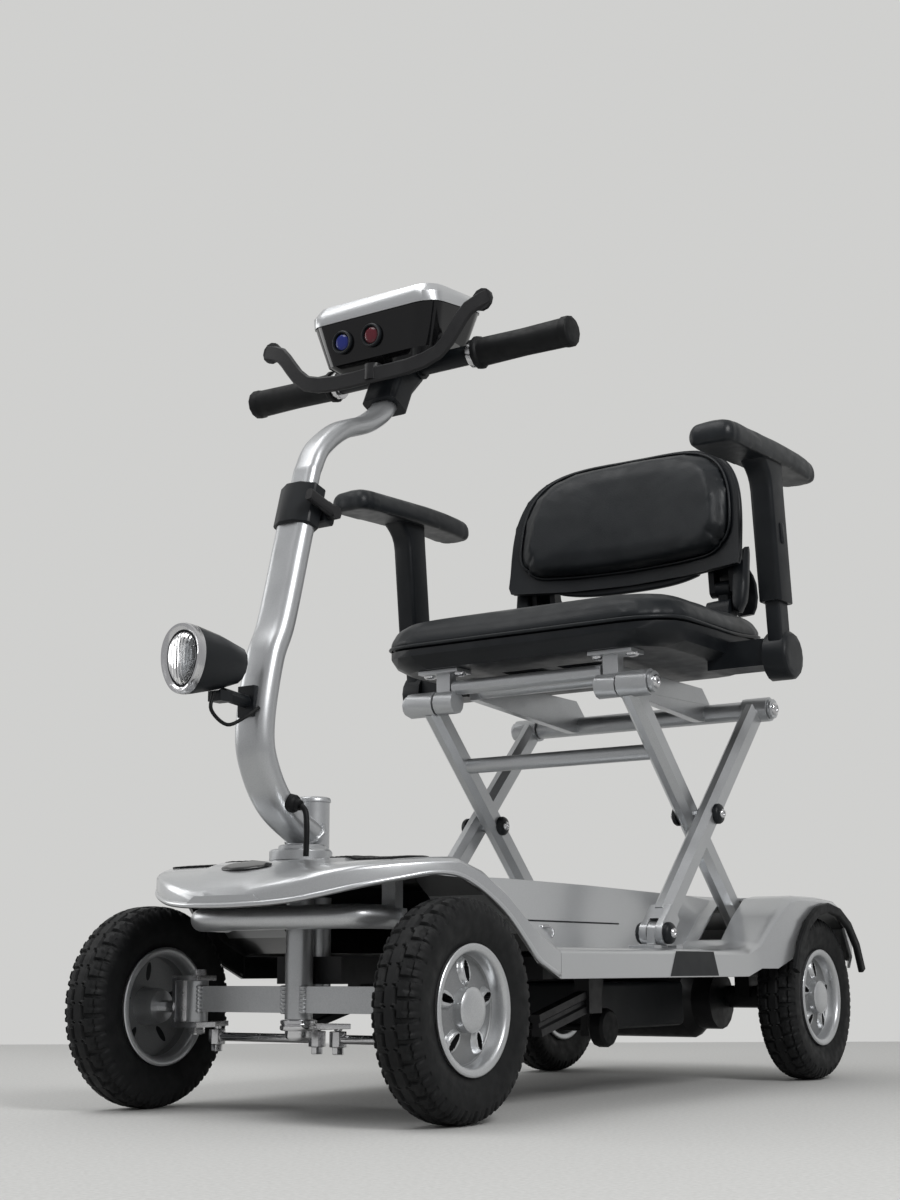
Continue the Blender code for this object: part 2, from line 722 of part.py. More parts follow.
def headlight():
    rings = [
        lamp_ring(LAMP_FRONT, LAMP_W * 0.90, LAMP_H * 0.93),
        lamp_ring(LAMP_FRONT + 0.003, LAMP_W, LAMP_H),
        lamp_ring(LAMP_FRONT + 0.010, LAMP_W, LAMP_H),
        lamp_ring(LAMP_FRONT + 0.045, LAMP_W * 0.92, LAMP_H * 0.80, LAMP_Z + 0.002),
        lamp_ring(LAMP_FRONT + 0.075, LAMP_W * 0.62, LAMP_H * 0.55, LAMP_Z + 0.004),
    ]
    body = loft("headlight_housing", rings)
    well = loft("well", [lamp_ring(LAMP_FRONT - 0.01, LAMP_W * 0.78, LAMP_H * 0.82),
                         lamp_ring(LAMP_FRONT + 0.022, LAMP_W * 0.62, LAMP_H * 0.66)])
    cut(body, well)
    loft(
        "headlight_lens",
        [
            lamp_ring(LAMP_FRONT - 0.006, LAMP_W * 0.35, LAMP_H * 0.40),
            lamp_ring(LAMP_FRONT - 0.0035, LAMP_W * 0.60, LAMP_H * 0.64),
            lamp_ring(LAMP_FRONT + 0.0005, LAMP_W * 0.705, LAMP_H * 0.745),
            lamp_ring(LAMP_FRONT + 0.0040, LAMP_W * 0.685, LAMP_H * 0.725),
        ],
    )
    start = Vector((0, -0.0695, 0.386))
    end = Vector((0, LAMP_FRONT + 0.056, LAMP_Z - 0.026))
    bracket = rod("bracket", start, end, 0.0065, SMALL)
    ear = box("ear", (-0.008, LAMP_FRONT + 0.045, LAMP_Z - 0.034),
              (0.008, LAMP_FRONT + 0.062, LAMP_Z - LAMP_H * 0.73))
    plate = box("plate", (-0.010, -0.0765, 0.372), (0.010, -0.0695 - GAP, 0.402))
    join(bracket, ear, plate)
    pole = sweep("pole", lower_path(), oval(POLE_W + 2 * GAP, POLE_D + 2 * GAP), (1, 0, 0))
    cut(bracket, pole)
    join(body, bracket)
    lead = [
        (0.004, LAMP_FRONT + 0.040, LAMP_Z - 0.0263), (0.005, LAMP_FRONT + 0.036, LAMP_Z - 0.044),
        (0.008, LAMP_FRONT + 0.055, LAMP_Z - 0.056),
        (0.011, LAMP_FRONT + 0.078, LAMP_Z - 0.046), (0.0145, LAMP_FRONT + 0.0925, LAMP_Z - 0.036),
    ]
    sweep("headlight_lead", smooth(lead, 3), circle(0.0018, 6))


def tiller_cable():
    """The power cable from the grommet on the tiller's bend to the deck beside the ring."""
    route = [(0.0324, -0.030, 0.2890), (0.0385, -0.031, 0.283), (0.041, -0.032, 0.268),
             (0.0405, -0.032, DECK_Z + 0.0012)]
    sweep("tiller_cable", smooth(route, 3), circle(CABLE_R, 6))


# Body covers

def cover_ring(y, middle_z, box_half, floor_z, half, lip_z, dip=0.006):
    """One cross-section of a cover: raised middle, floor, rounded edge and down-turned lip."""
    t = COVER_T
    outer = [(box_half - 0.004, middle_z), (box_half + 0.010, floor_z), (half - 0.012, floor_z),
             (half - 0.003, floor_z - dip * 0.4), (half, floor_z - dip), (half, lip_z)]
    inner = [(half - t, lip_z), (half - t, floor_z - dip - 0.001), (half - 0.013, floor_z - t),
             (box_half + 0.007, floor_z - t), (box_half - 0.007, middle_z - t)]
    right = outer + inner
    left = [(-x, z) for x, z in reversed(right)]
    return [(x, y, z) for x, z in right + left]


def front_cover():
    """The deck over the front wheels, from the round nose to the step down beside the battery."""
    d, wide = DECK_Z, BOX_HALF
    rows = [
        (NOSE, d - 0.0360, 0.012, d - 0.0365, 0.036, d - 0.0475),
        (NOSE + 0.0035, d - 0.0285, 0.022, d - 0.0300, 0.056, d - 0.0465),
        (NOSE + 0.0105, d - 0.0210, 0.032, d - 0.0235, 0.078, d - 0.0440),
        (NOSE + 0.0225, d - 0.0130, 0.042, d - 0.0165, 0.100, d - 0.0390),
        (NOSE + 0.0425, d - 0.0055, 0.055, d - 0.0095, 0.125, d - 0.0320),
        (NOSE + 0.0725, d - 0.0010, 0.070, d - 0.0050, 0.149, d - 0.0245),
        (0.000, d, 0.085, d - 0.0020, 0.167, d - 0.0185),
        (0.025, d, wide, d - 0.0010, 0.179, d - 0.0205),
        (0.050, d - 0.0005, wide, d - 0.0115, 0.189, d - 0.0335),
        (0.078, d - 0.0035, wide, d - 0.0305, 0.197, d - 0.0545),
        (0.104, d - 0.0075, wide, d - 0.0525, 0.202, d - 0.0805),
        (0.123, d - 0.0095, wide, d - 0.0665, SILL_HALF - 0.0005, d - 0.0985),
        (COVER_SPLIT - GAP, BOX_Z, wide, FLOOR_Z, SILL_HALF, FLOOR_Z - LIP),
    ]
    obj = loft("front_cover", [cover_ring(*row) for row in rows])
    hole = rod("hole", (0, STEER_Y, 0.20), (0, STEER_Y, 0.26), HEAD_R + 0.001, LARGE)
    return cut(obj, hole)


def rear_cover():
    """The tub round the battery box, the sills and the rear fenders with their leg slots."""
    def arch(y):
        across = ARCH_R**2 - (y - WHEELBASE) ** 2
        return WHEEL_R + math.sqrt(across) if across > 0.0012 else FLOOR_Z - LIP + 0.009

    f, b, w = FLOOR_Z, BOX_Z, WHEELBASE
    rows = [
        (COVER_SPLIT + GAP, b, f, SILL_HALF),
        (0.240, b + 0.001, f, SILL_HALF),
        (0.400, b, f, SILL_HALF),
        (w - 0.1976, b - 0.003, f, SILL_HALF),
        (w - 0.1676, b - 0.004, f + 0.010, SILL_HALF + 0.003),
        (w - 0.1326, b - 0.004, f + 0.040, SILL_HALF + 0.008),
        (w - 0.0986, b - 0.004, FENDER_Z - 0.004, DECK_HALF),
        (w - 0.0726, FENDER_Z + 0.001, FENDER_Z, DECK_HALF + 0.001),
        (w - 0.0376, FENDER_Z + 0.001, FENDER_Z, DECK_HALF + 0.002),
        (w, FENDER_Z + 0.001, FENDER_Z, DECK_HALF + 0.002),
        (w + 0.0374, FENDER_Z - 0.001, FENDER_Z - 0.002, DECK_HALF + 0.001),
        (w + 0.0674, FENDER_Z - 0.010, FENDER_Z - 0.012, DECK_HALF),
        (w + 0.0974, FENDER_Z - 0.032, FENDER_Z - 0.034, DECK_HALF - 0.003),
        (BODY_BACK, FENDER_Z - 0.070, FENDER_Z - 0.072, DECK_HALF - 0.012),
    ]
    rings = []
    for y, middle, floor, half in rows:
        lip = min(arch(y), floor - 0.009) if y > w - 0.19 else FLOOR_Z - LIP
        rings.append(cover_ring(y, middle, BOX_HALF, floor, half, lip))
    obj = loft("rear_cover", rings)
    slots = []
    for _, side in sides():
        outline = [(SLOT_FRONT, 0.160), (SLOT_BACK, 0.160), (SLOT_BACK, 0.25), (SLOT_FRONT, 0.25)]
        inner = side * (INNER_X - LEG_W / 2 - 0.004)
        outer = side * (INNER_X + LEG_W / 2 + 0.004)
        slots.append(prism("slot", outline, min(inner, outer), max(inner, outer)))
    return cut(obj, group("slots", slots))


def deck_parts():
    for tag, side in sides():
        outline = [(0.047, -0.052), (0.092, -0.050), (0.122, -0.026), (0.138, 0.000), (0.146, 0.022),
                   (0.142, 0.030), (0.047, 0.030)]
        mat = prism(f"foot_mat_{tag}", [(side * x, y) for x, y in outline], DECK_Z + GAP, DECK_Z + MAT_T,
                    "z")
        soften(mat, 0.0008, 1)
    nose_badge()
    for tag, side in sides():
        arch_trim(f"arch_trim_{tag}", side)


def nose_badge():
    """The plain oval badge that lies on the slope of the nose."""
    along = Vector((0, 0.0200, 0.0075)).normalized()
    out = Vector((1, 0, 0)).cross(along)
    middle = Vector((0, NOSE + 0.0325, DECK_Z - 0.00935))
    rings = []
    for size, lift in ((1.0, 0.0004), (1.0, 0.0016), (0.82, 0.0030)):
        turn = [2 * math.pi * k / LARGE for k in range(LARGE)]
        rings.append([middle + Vector((BADGE_W * size * math.cos(t), 0, 0))
                      + along * BADGE_H * size * math.sin(t) + out * lift for t in turn])
    return loft("nose_badge", rings)


def arch_trim(name, side):
    """The black rubber edge round the rear wheel arch."""
    path = [(side * (DECK_HALF + 0.0062), WHEELBASE + (ARCH_R + 0.001) * math.cos(t),
             WHEEL_R + (ARCH_R + 0.001) * math.sin(t)) for t in arc(17, 163, SMALL)]
    return sweep(name, path, rounded(0.0035, 0.006, 0.0015, 1), (side, 0, 0))


def bumper():
    """The round tube loop under the nose, with its two arms going back and up to the frame."""
    half = [(0.0, -0.036, 0.184), (0.070, -0.034, 0.184), (0.094, -0.026, 0.184), (0.104, -0.006, 0.184),
            (0.104, 0.022, 0.184)]
    path = [(-x, y, z) for x, y, z in reversed(half[1:])] + half
    obj = sweep("front_bumper", smooth(path, 2), circle(0.010, SMALL), (0, 0, 1))
    bar = box("bar", (-0.118, 0.018, 0.176), (0.118, 0.0245, 0.192))
    arms = [box("arm", (s * 0.104 - 0.008, 0.014, 0.176), (s * 0.104 + 0.008, 0.026, 0.226))
            for _, s in sides()]
    join(obj, bar, *arms)
    clear = rod("clear", (0, STEER_Y, 0.1), (0, STEER_Y, 0.25), HEAD_R + GAP, LARGE)
    stay = rod("clear", (0, STEER_Y + 0.029, 0.1), (0, STEER_Y + 0.029, 0.25), 0.0125 + GAP, MEDIUM)
    return cut(obj, group("clears", [clear]), stay)


# Chassis

def chassis_frame():
    """Black steel spine, side rails and cross members, with the slide tracks for the inner legs."""
    obj = box("chassis_frame", (-0.040, STEER_Y + HEAD_R + 0.001, 0.122),
              (0.040, WHEELBASE - 0.0826, 0.148))
    parts = []
    bores = [rod("bore", (-0.2, TRANSIT_Y, TRANSIT_Z), (0.2, TRANSIT_Y, TRANSIT_Z), 0.004 + RUN, SMALL)]
    for _, side in sides():
        parts.append(box("rail", (side * RAIL_X - 0.010, 0.200, RAIL_LOW),
                         (side * RAIL_X + 0.010, WHEELBASE + 0.0974, 0.148)))
        low = (side * 0.136 - 0.018, PIVOT_BACK - 0.022, 0.146)
        high = (side * 0.136 + 0.018, WHEELBASE + 0.0674, PIVOT_LOW - LEG_D / 2 - 0.001)
        parts.append(box("track", low, high))
        hanger = side * (TRANSIT_X - 0.018)
        outline = [(TRANSIT_Y - 0.009, TRANSIT_Z - 0.009), (TRANSIT_Y + 0.009, TRANSIT_Z - 0.009),
                   (0.428, 0.130), (0.395, 0.130)]
        parts.append(prism("hanger", outline, hanger - 0.006, hanger + 0.006))
    for y in (0.215, 0.420, WHEELBASE - 0.1926, WHEELBASE + 0.0674):
        parts.append(box("cross", (-0.150, y, 0.1255), (0.150, y + 0.020, 0.1475)))
    join(obj, *parts, *[strut(side) for _, side in sides()])
    stay = rod("socket", (0, STEER_Y + 0.029, 0.1), (0, STEER_Y + 0.029, 0.25), 0.0125 + GAP, MEDIUM)
    return cut(obj, stay, *bores)


def strut(side):
    """A grooved aluminium strut from its clevis on the side rail down and forward."""
    x = side * 0.150
    half = [(0.006, -0.011), (0.006, -0.004), (0.0035, -0.002), (0.0035, 0.002), (0.006, 0.004),
            (0.006, 0.011)]
    section = half + [(-a, b) for a, b in reversed(half)]
    obj = sweep("strut", [(x, 0.304, 0.104), (x, 0.200, 0.080)], section, (1, 0, 0))
    clevis = box("clevis", (x - 0.009, 0.292, 0.090), (x + 0.009, 0.318, 0.140))
    bridge = box("bridge", (min(side * 0.110, x), 0.296, 0.128), (max(side * 0.110, x), 0.314, 0.140))
    return join(obj, clevis, bridge)


def chassis():
    chassis_frame()
    box("battery_box", (-0.092, TRANSIT_Y + 0.028, 0.068), (0.092, WHEELBASE - 0.1426, 0.1215))
    soften(bpy.data.objects["battery_box"], 0.006, 2)
    profile = [(-0.080, 0.040), (-0.072, 0.047), (0.048, 0.047), (0.060, 0.036), (0.086, 0.036)]
    motor = spindle("transaxle", profile, (0, WHEELBASE - 0.0276, WHEEL_R - 0.004), (1, 0, 0), LARGE)
    case = rod("case", (-0.030, WHEELBASE, WHEEL_R), (0.030, WHEELBASE, WHEEL_R), 0.045, MEDIUM)
    tube = rod("tube", (-0.160, WHEELBASE, WHEEL_R), (0.160, WHEELBASE, WHEEL_R), 0.014, MEDIUM)
    reach = HALF_TRACK + HUB_OUT - 0.001
    shaft = rod("shaft", (-reach, WHEELBASE, WHEEL_R), (reach, WHEELBASE, WHEEL_R), AXLE_R, SMALL)
    saddles = []
    for _, side in sides():
        low = (side * RAIL_X - 0.010, WHEELBASE - 0.018, WHEEL_R)
        high = (side * RAIL_X + 0.010, WHEELBASE + 0.018, RAIL_LOW - GAP)
        saddles.append(box("saddle", low, high))
    join(motor, case, tube, shaft, *saddles)


# Scissor legs

def leg_path(x, start, end, over):
    """The straight middle of a leg, ending short of its two pivots."""
    a, b = Vector((x, *start)), Vector((x, *end))
    along = (b - a).normalized()
    return [a + along * over[0], b - along * over[1]]


def leg_section():
    return rounded(LEG_W / 2, LEG_D / 2, 0.007, 1)


def inner_legs():
    """The two inner legs, with top sleeves, foot rollers, one cross bar and the capped cross pins."""
    top = (PIVOT_FRONT, PIVOT_HIGH)
    foot = (PIVOT_BACK, PIVOT_LOW)
    obj = None
    bores = []
    pins = []
    for _, side in sides():
        x = side * INNER_X
        leg = sweep("inner_legs" if obj is None else "leg", leg_path(x, top, foot, (0.006, 0.004)),
                    leg_section(), (1, 0, 0))
        sleeve = rod("sleeve", (side * (INNER_X - LEG_W / 2 + 0.0015), *top),
                     (side * (INNER_X + 0.030), *top), 0.0155, MEDIUM)
        roller = rod("roller", (side * (INNER_X - LEG_W / 2 - 0.001), *foot),
                     (side * (INNER_X + LEG_W / 2 + 0.001), *foot), LEG_D / 2, MEDIUM)
        join(leg, sleeve, roller)
        bores.append(rod("bore", (side * 0.10, *top), (side * 0.20, *top), PIN_R + 0.001 + RUN, MEDIUM))
        pins.append(pivot_pin("pin", side, cross_pivot(), INNER_X - LEG_W / 2 - GAP,
                              OUTER_X + LEG_W / 2 + GAP))
        obj = join(obj, leg) if obj else leg
    share = 0.25
    y = PIVOT_FRONT + (PIVOT_BACK - PIVOT_FRONT) * share
    z = PIVOT_HIGH + (PIVOT_LOW - PIVOT_HIGH) * share
    bar = rod("bar", (-INNER_X, y, z), (INNER_X, y, z), 0.0095, MEDIUM)
    for piece in [bar] + pins:
        join(obj, piece)
    return cut(obj, group("bores", bores))


def cross_pivot():
    return ((PIVOT_FRONT + PIVOT_BACK) / 2, (PIVOT_LOW + PIVOT_HIGH) / 2)


def outer_leg(name, side):
    """An outer leg with its sleeve at the top and a fork at the foot."""
    top = (PIVOT_BACK, PIVOT_HIGH)
    foot = (PIVOT_FRONT, PIVOT_LOW)
    x = side * OUTER_X
    obj = sweep(name, leg_path(x, top, foot, (0.006, 0.026)), leg_section(), (1, 0, 0))
    sleeve = rod("sleeve", (side * (OUTER_X - 0.012), *top), (side * (OUTER_X + 0.022), *top), 0.0155,
                 MEDIUM)
    along = (Vector((x, *top)) - Vector((x, *foot))).normalized()
    block = sweep("block", [Vector((x, *foot)), Vector((x, *foot)) + along * 0.032],
                  rounded(0.0145, 0.0135, 0.003, 2), (1, 0, 0))
    ear = rod("ear", (side * (OUTER_X - 0.0142), *foot), (side * (OUTER_X + 0.0142), *foot), 0.0138, MEDIUM)
    join(obj, sleeve, block, ear)
    gap = box("gap", (min(side * (OUTER_X - 0.0055), side * (OUTER_X + 0.0055)), foot[0] - 0.03,
                      foot[1] - 0.03),
              (max(side * (OUTER_X - 0.0055), side * (OUTER_X + 0.0055)), foot[0] + 0.0165,
               foot[1] + 0.0165))
    bores = [
        rod("bore", (side * 0.10, *top), (side * 0.20, *top), PIN_R + 0.001 + RUN, MEDIUM),
        rod("bore", (side * 0.10, *cross_pivot()), (side * 0.20, *cross_pivot()), PIN_R + RUN, SMALL),
        rod("bore", (side * 0.10, *foot), (side * 0.20, *foot), PIN_R + RUN, SMALL),
    ]
    return cut(obj, gap, group("bores", bores))


def pivot_pin(name, side, at, inside, outside):
    """A pin with a black dome cap at each end."""
    dome = [(-0.0062, 0.006), (-0.0040, 0.0115), (-GAP, 0.0115), (-GAP, PIN_R)]
    length = outside - inside
    profile = dome + [(length - a, r) for a, r in reversed(dome)]
    return spindle(name, profile, (side * inside, *at), (side, 0, 0), SMALL)


def leg_foot(name, side):
    """The fixed tab on the sill floor, with the capped pin that the outer leg's fork turns on."""
    low = FLOOR_Z + GAP
    y, z = PIVOT_FRONT, PIVOT_LOW
    round_top = [(y + 0.013 * math.cos(t), z + 0.013 * math.sin(t)) for t in arc(0, 180, 10)]
    outline = [(y - 0.034, low), (y + 0.034, low), (y + 0.034, low + 0.004), (y + 0.013, low + 0.005)]
    obj = prism(name, outline + round_top[1:-1] + [(y - 0.013, low + 0.005), (y - 0.034, low + 0.004)],
                min(side * (OUTER_X - 0.005), side * (OUTER_X + 0.005)),
                max(side * (OUTER_X - 0.005), side * (OUTER_X + 0.005)))
    pads = [box("pad", (side * OUTER_X - 0.016, y + a, low),
                (side * OUTER_X + 0.016, y + a + 0.016, low + 0.0035)) for a in (-0.034, 0.018)]
    pin = pivot_pin("pin", side, (y, z), OUTER_X - 0.0145 - GAP, OUTER_X + 0.0145 + GAP)
    return join(obj, pin, *pads)


def scissor():
    inner_legs()
    for tag, side in sides():
        outer_leg(f"outer_leg_{tag}", side)
        leg_foot(f"leg_foot_{tag}", side)


# Seat

def seat_brackets():
    """The two T brackets and the tube between them."""
    y, z = PIVOT_FRONT, PIVOT_HIGH
    tube = rod("seat_brackets", (-0.105, y + 0.003, z + 0.018), (0.105, y + 0.003, z + 0.018), 0.009,
               MEDIUM)
    return join(tube, *[seat_bracket(side) for _, side in sides()])


def seat_bracket(side):
    """A T bracket under the shell, with the stud that an inner leg's sleeve turns on."""
    y, z = PIVOT_FRONT, PIVOT_HIGH
    obj = rod("bracket", (side * 0.100, y, z), (side * (INNER_X - LEG_W / 2 - 2 * GAP), y, z), 0.0145,
              MEDIUM)
    stud = rod("stud", (side * 0.110, y, z), (side * 0.1745, y, z), PIN_R + 0.001, SMALL)
    washer = rod("washer", (side * (INNER_X + 0.030 + 2 * GAP), y, z), (side * 0.1745, y, z), 0.0125,
                 MEDIUM)
    web = box("web", (min(side * 0.108, side * 0.128), y - 0.004, z),
              (max(side * 0.108, side * 0.128), y + 0.010, SHELL_Z - GAP))
    plate = box("plate", (min(side * 0.092, side * 0.150), y - 0.012, SHELL_Z - 0.005),
                (max(side * 0.092, side * 0.150), y + 0.020, SHELL_Z - GAP))
    return join(obj, stud, washer, web, plate)


def seat_slider():
    """The sub-frame that the outer legs' tops carry: tapered side rails between two cross tubes."""
    y, z = PIVOT_BACK, PIVOT_HIGH
    obj = rod("seat_slider", (-0.1535 + 2 * GAP, y, z), (0.1535 - 2 * GAP, y, z), 0.0125, MEDIUM)
    front = PIVOT_FRONT + 0.028
    parts = [rod("front", (-0.100, front + 0.012, z + 0.019), (0.100, front + 0.012, z + 0.019), 0.0115,
                 MEDIUM)]
    for _, side in sides():
        outline = [(front, z + 0.005), (front, z + 0.033), (y - 0.012, z + 0.033)]
        outline += [(y + 0.010, z + 0.013), (y + 0.010, z - 0.009), (y - 0.022, z - 0.011)]
        parts.append(prism("rail", outline, min(side * 0.088, side * 0.100),
                           max(side * 0.088, side * 0.100)))
        parts.append(rod("stud", (side * 0.140, y, z), (side * (OUTER_X + 0.0275), y, z), PIN_R + 0.001,
                         SMALL))
        parts.append(rod("washer", (side * (OUTER_X + 0.022 + 2 * GAP), y, z),
                         (side * (OUTER_X + 0.0275), y, z), 0.0125, MEDIUM))
    return join(obj, *parts)


def padded(name, outline, levels, place):
    """A cushion of stacked outlines: levels give (scale across, scale along, height)."""
    return loft(name, [[place(a * u, b * v, w) for a, b in outline] for u, v, w in levels])


def seat_place(a, b, w):
    """Seat pads rise a little towards the rear corners and the front edge rolls down."""
    back = max(0.0, b / SEAT_HALF_D)
    front = max(0.0, -b / SEAT_HALF_D - 0.55)
    corner = (abs(a) / SEAT_HALF_W) ** 2
    return (a, SEAT_Y + b, w + 0.016 * back**2 * corner - 0.020 * front**2)


def seat():
    plan = rounded(SEAT_HALF_W, SEAT_HALF_D, 0.060, 4)
    shell_levels = [(0.90, 0.90, SHELL_Z), (0.97, 0.96, SHELL_Z + 0.008), (1.0, 1.0, SHELL_Z + 0.020),
                    (1.0, 1.0, CUSHION_Z - GAP)]
    shell_levels += [(k, k, CUSHION_Z - GAP) for k in PAD_RINGS]

    def flat(a, b, w):
        if w < SHELL_Z + 0.010:
            return (a, SEAT_Y + b, w)
        return seat_place(a, b, w)

    shell = padded("seat_shell", plan, shell_levels, flat)
    ears = []
    for _, side in sides():
        inner = side * (SEAT_HALF_W - 0.03)
        outer = side * (DRUM.x - DRUM_T - GAP)
        ears.append(box("ear", (min(inner, outer), DRUM.y - 0.022, DRUM.z - 0.012),
                        (max(inner, outer), DRUM.y + 0.022, DRUM.z + 0.020)))
    ears += [back_leg(side * HINGE_X) for _, side in sides()]
    for ear in ears:
        join(shell, ear)
    pockets = [box("pocket", (x - 0.030, SEAT_Y - 0.06, SHELL_Z - 0.01),
                   (x + 0.030, SEAT_Y + 0.10, SHELL_Z + 0.016)) for x in (-0.040, 0.040)]
    cut(shell, group("pockets", pockets))
    sides_up = [(1.0, 0.004), (1.01, 0.014), (0.985, 0.024), (0.91, 0.031), (0.69, 0.036), (0.34, 0.0372)]
    levels = [(k, k, CUSHION_Z) for k in reversed(PAD_RINGS)] + [(k, k, CUSHION_Z + w) for k, w in sides_up]
    padded("seat_cushion", plan, levels, seat_place)


def back_leg(x):
    """A leg that rises from the back of the shell to the eye that the backrest turns on."""
    y, z = BACK_PIVOT.yz
    path = [(x, SEAT_Y + SEAT_HALF_D - 0.040, SHELL_Z + 0.014), (x, y - 0.004, SHELL_Z + 0.020),
            (x, y + 0.006, SHELL_Z + 0.050), (x, y, z)]
    leg = sweep("leg", smooth(path, 2), rounded(HINGE_HALF - 0.0008, 0.008, 0.003, 1), (1, 0, 0))
    join(leg, rod("eye", (x - HINGE_HALF, y, z), (x + HINGE_HALF, y, z), HINGE_R, MEDIUM))
    return cut(leg, rod("bore", (x - 0.02, y, z), (x + 0.02, y, z), PIN_R - 0.001 + RUN, SMALL))


def back_place(a, b, w):
    """Backrest pads stand up, lean back and wrap a little round the rider; w grows forward."""
    return (a, BACK_Y + 0.13 * b - 0.9 * a * a - w, BACK_Z + b)


def back_outline(half_w, half_h):
    """The backrest's front outline: wide round shoulders and a straight lower edge."""
    points = []
    for t in arc(0, 180, 10):
        c, s = math.cos(t), math.sin(t)
        points.append((half_w * math.copysign(abs(c) ** 0.55, c), half_h * (1.9 * abs(s) ** 0.55 - 0.9)))
    return points + [(-half_w * 0.98, -half_h), (-half_w * 0.5, -half_h * 1.04), (0, -half_h * 1.05),
                     (half_w * 0.5, -half_h * 1.04), (half_w * 0.98, -half_h)]


def backrest():
    outline = back_outline(BACK_HALF_W, BACK_HALF_H)
    back = [(k, k, -0.016) for k in (0.06, 0.50, 0.965)]
    front = [(k, k, 0.0) for k in PAD_RINGS]
    shell = padded("backrest_shell", outline, back + [(1.0, 1.0, -0.010), (1.0, 1.0, 0.0)] + front,
                   back_place)
    legs = []
    y, z = BACK_PIVOT.yz
    for _, side in sides():
        x = side * HINGE_X
        for low in (x - HINGE_HALF - 0.0085, x + HINGE_HALF + 0.0005):
            nose = [(y + (HINGE_R - 0.0008) * math.cos(t), z + (HINGE_R - 0.0008) * math.sin(t))
                    for t in arc(-150, 20, 6)]
            lug = nose + [(y - 0.006, z + 0.060), (y - 0.016, z + 0.060)]
            legs.append(prism("lug", lug, low, low + 0.008))
        legs.append(rod("pin", (x - HINGE_HALF - 0.004, y, z), (x + HINGE_HALF + 0.004, y, z),
                        PIN_R - 0.001, SMALL))
    join(shell, *legs)
    crown = [(0.985, 0.004), (0.97, 0.012), (0.90, 0.019), (0.65, 0.023), (0.30, 0.024), (0.06, 0.024)]
    levels = [(k, k, GAP) for k in reversed(PAD_RINGS)] + [(k, k, w) for k, w in crown]
    padded("backrest_pad", outline, levels, back_place)


def arm_point(side, rise):
    """A point on the arm post's middle line, `rise` above the drum."""
    return Vector((side * (DRUM.x - DRUM_T / 2), DRUM.y - 0.008 - POST_LEAN * rise, DRUM.z + rise))


def armrests():
    for tag, side in sides():
        drum = spindle(f"arm_post_{tag}", [(0, DRUM_R), (DRUM_T - 0.005, DRUM_R),
                                           (DRUM_T - 0.001, DRUM_R - 0.003), (DRUM_T, DRUM_R - 0.008)],
                       (side * (DRUM.x - DRUM_T), DRUM.y, DRUM.z), (side, 0, 0), LARGE)
        post = sweep("post", [arm_point(side, 0.005), arm_point(side, 0.170)],
                     rounded(POST_W / 2 - 0.0035, POST_D / 2 - 0.0035, 0.004, 2), (1, 0, 0))
        join(drum, post)
        sleeve = sweep(f"arm_sleeve_{tag}", [arm_point(side, 0.062),
                                             arm_point(side, ARM_PAD_Z - DRUM.z - 0.010),
                                             arm_point(side, ARM_PAD_Z - DRUM.z)],
                       rounded(POST_W / 2, POST_D / 2, 0.006, 2), (1, 0, 0))
        outline = rounded(0.016, 0.060, 0.012, 2)
        rings = []
        for low in (-0.012, ARM_LIFT - GAP):
            rings.append([(side * (DRUM.x - DRUM_T / 2) + a, ARM_Y + b, ARM_PAD_Z + low + ARM_TILT * b)
                          for a, b in outline])
        top = loft("top", rings)
        join(sleeve, top)
        cut(sleeve, sweep("bore", [arm_point(side, 0.050), arm_point(side, 0.173)],
                          rounded(POST_W / 2 - 0.0035 + RUN, POST_D / 2 - 0.0035 + RUN, 0.004, 2),
                          (1, 0, 0)))
        arm_pad(f"arm_pad_{tag}", side)


def arm_pad(name, side):
    """The long arm pad, wider at the front, with a soft crown."""
    outline = []
    for a, b in rounded(0.027, 0.130, 0.022, 3):
        outline.append((a * (1.0 - 0.8 * b), b))
    middle = (side * (DRUM.x - DRUM_T / 2 - 0.004), ARM_Y)

    def place(a, b, w):
        return (middle[0] + a, middle[1] + b, ARM_PAD_Z + ARM_LIFT + w + ARM_TILT * b)

    levels = [(0.90, 0.97, 0.0), (1.0, 1.0, 0.004), (1.0, 1.0, 0.011), (0.90, 0.975, 0.017),
              (0.5, 0.90, 0.020)]
    return padded(name, outline, levels, place)


def to_frame():
    """Move every solid so that the middle of the part's box is at y = 0."""
    for obj in bpy.data.objects:
        obj.data.transform(Matrix.Translation((0, -AXLE_TO_MIDDLE, 0)))
        obj.data.polygons.foreach_set("use_smooth", [False] * len(obj.data.polygons))


def build():
    clear_scene()
    wheels()
    transit_wheels()
    front_end()
    tiller_lower()
    tiller_upper()
    collar()
    collar_lever()
    handlebar()
    stem_clamp()
    console()
    paddle()
    headlight()
    tiller_cable()
    front_cover()
    rear_cover()
    deck_parts()
    bumper()
    chassis()
    scissor()
    seat_brackets()
    seat_slider()
    seat()
    backrest()
    armrests()
    to_frame()


build()
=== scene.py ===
# %% [markdown]
# A folding mobility scooter, dressed for a picture.
# The imported model comes in as a fixed frame of solids, and every new piece says which body it
# belongs to. Everything is in metres, in the model's own frame.

# %% Load the frame
import json
import math

import bmesh
import bpy
import numpy as np
from mathutils import Matrix, Quaternion, Vector
from mathutils.bvhtree import BVHTree


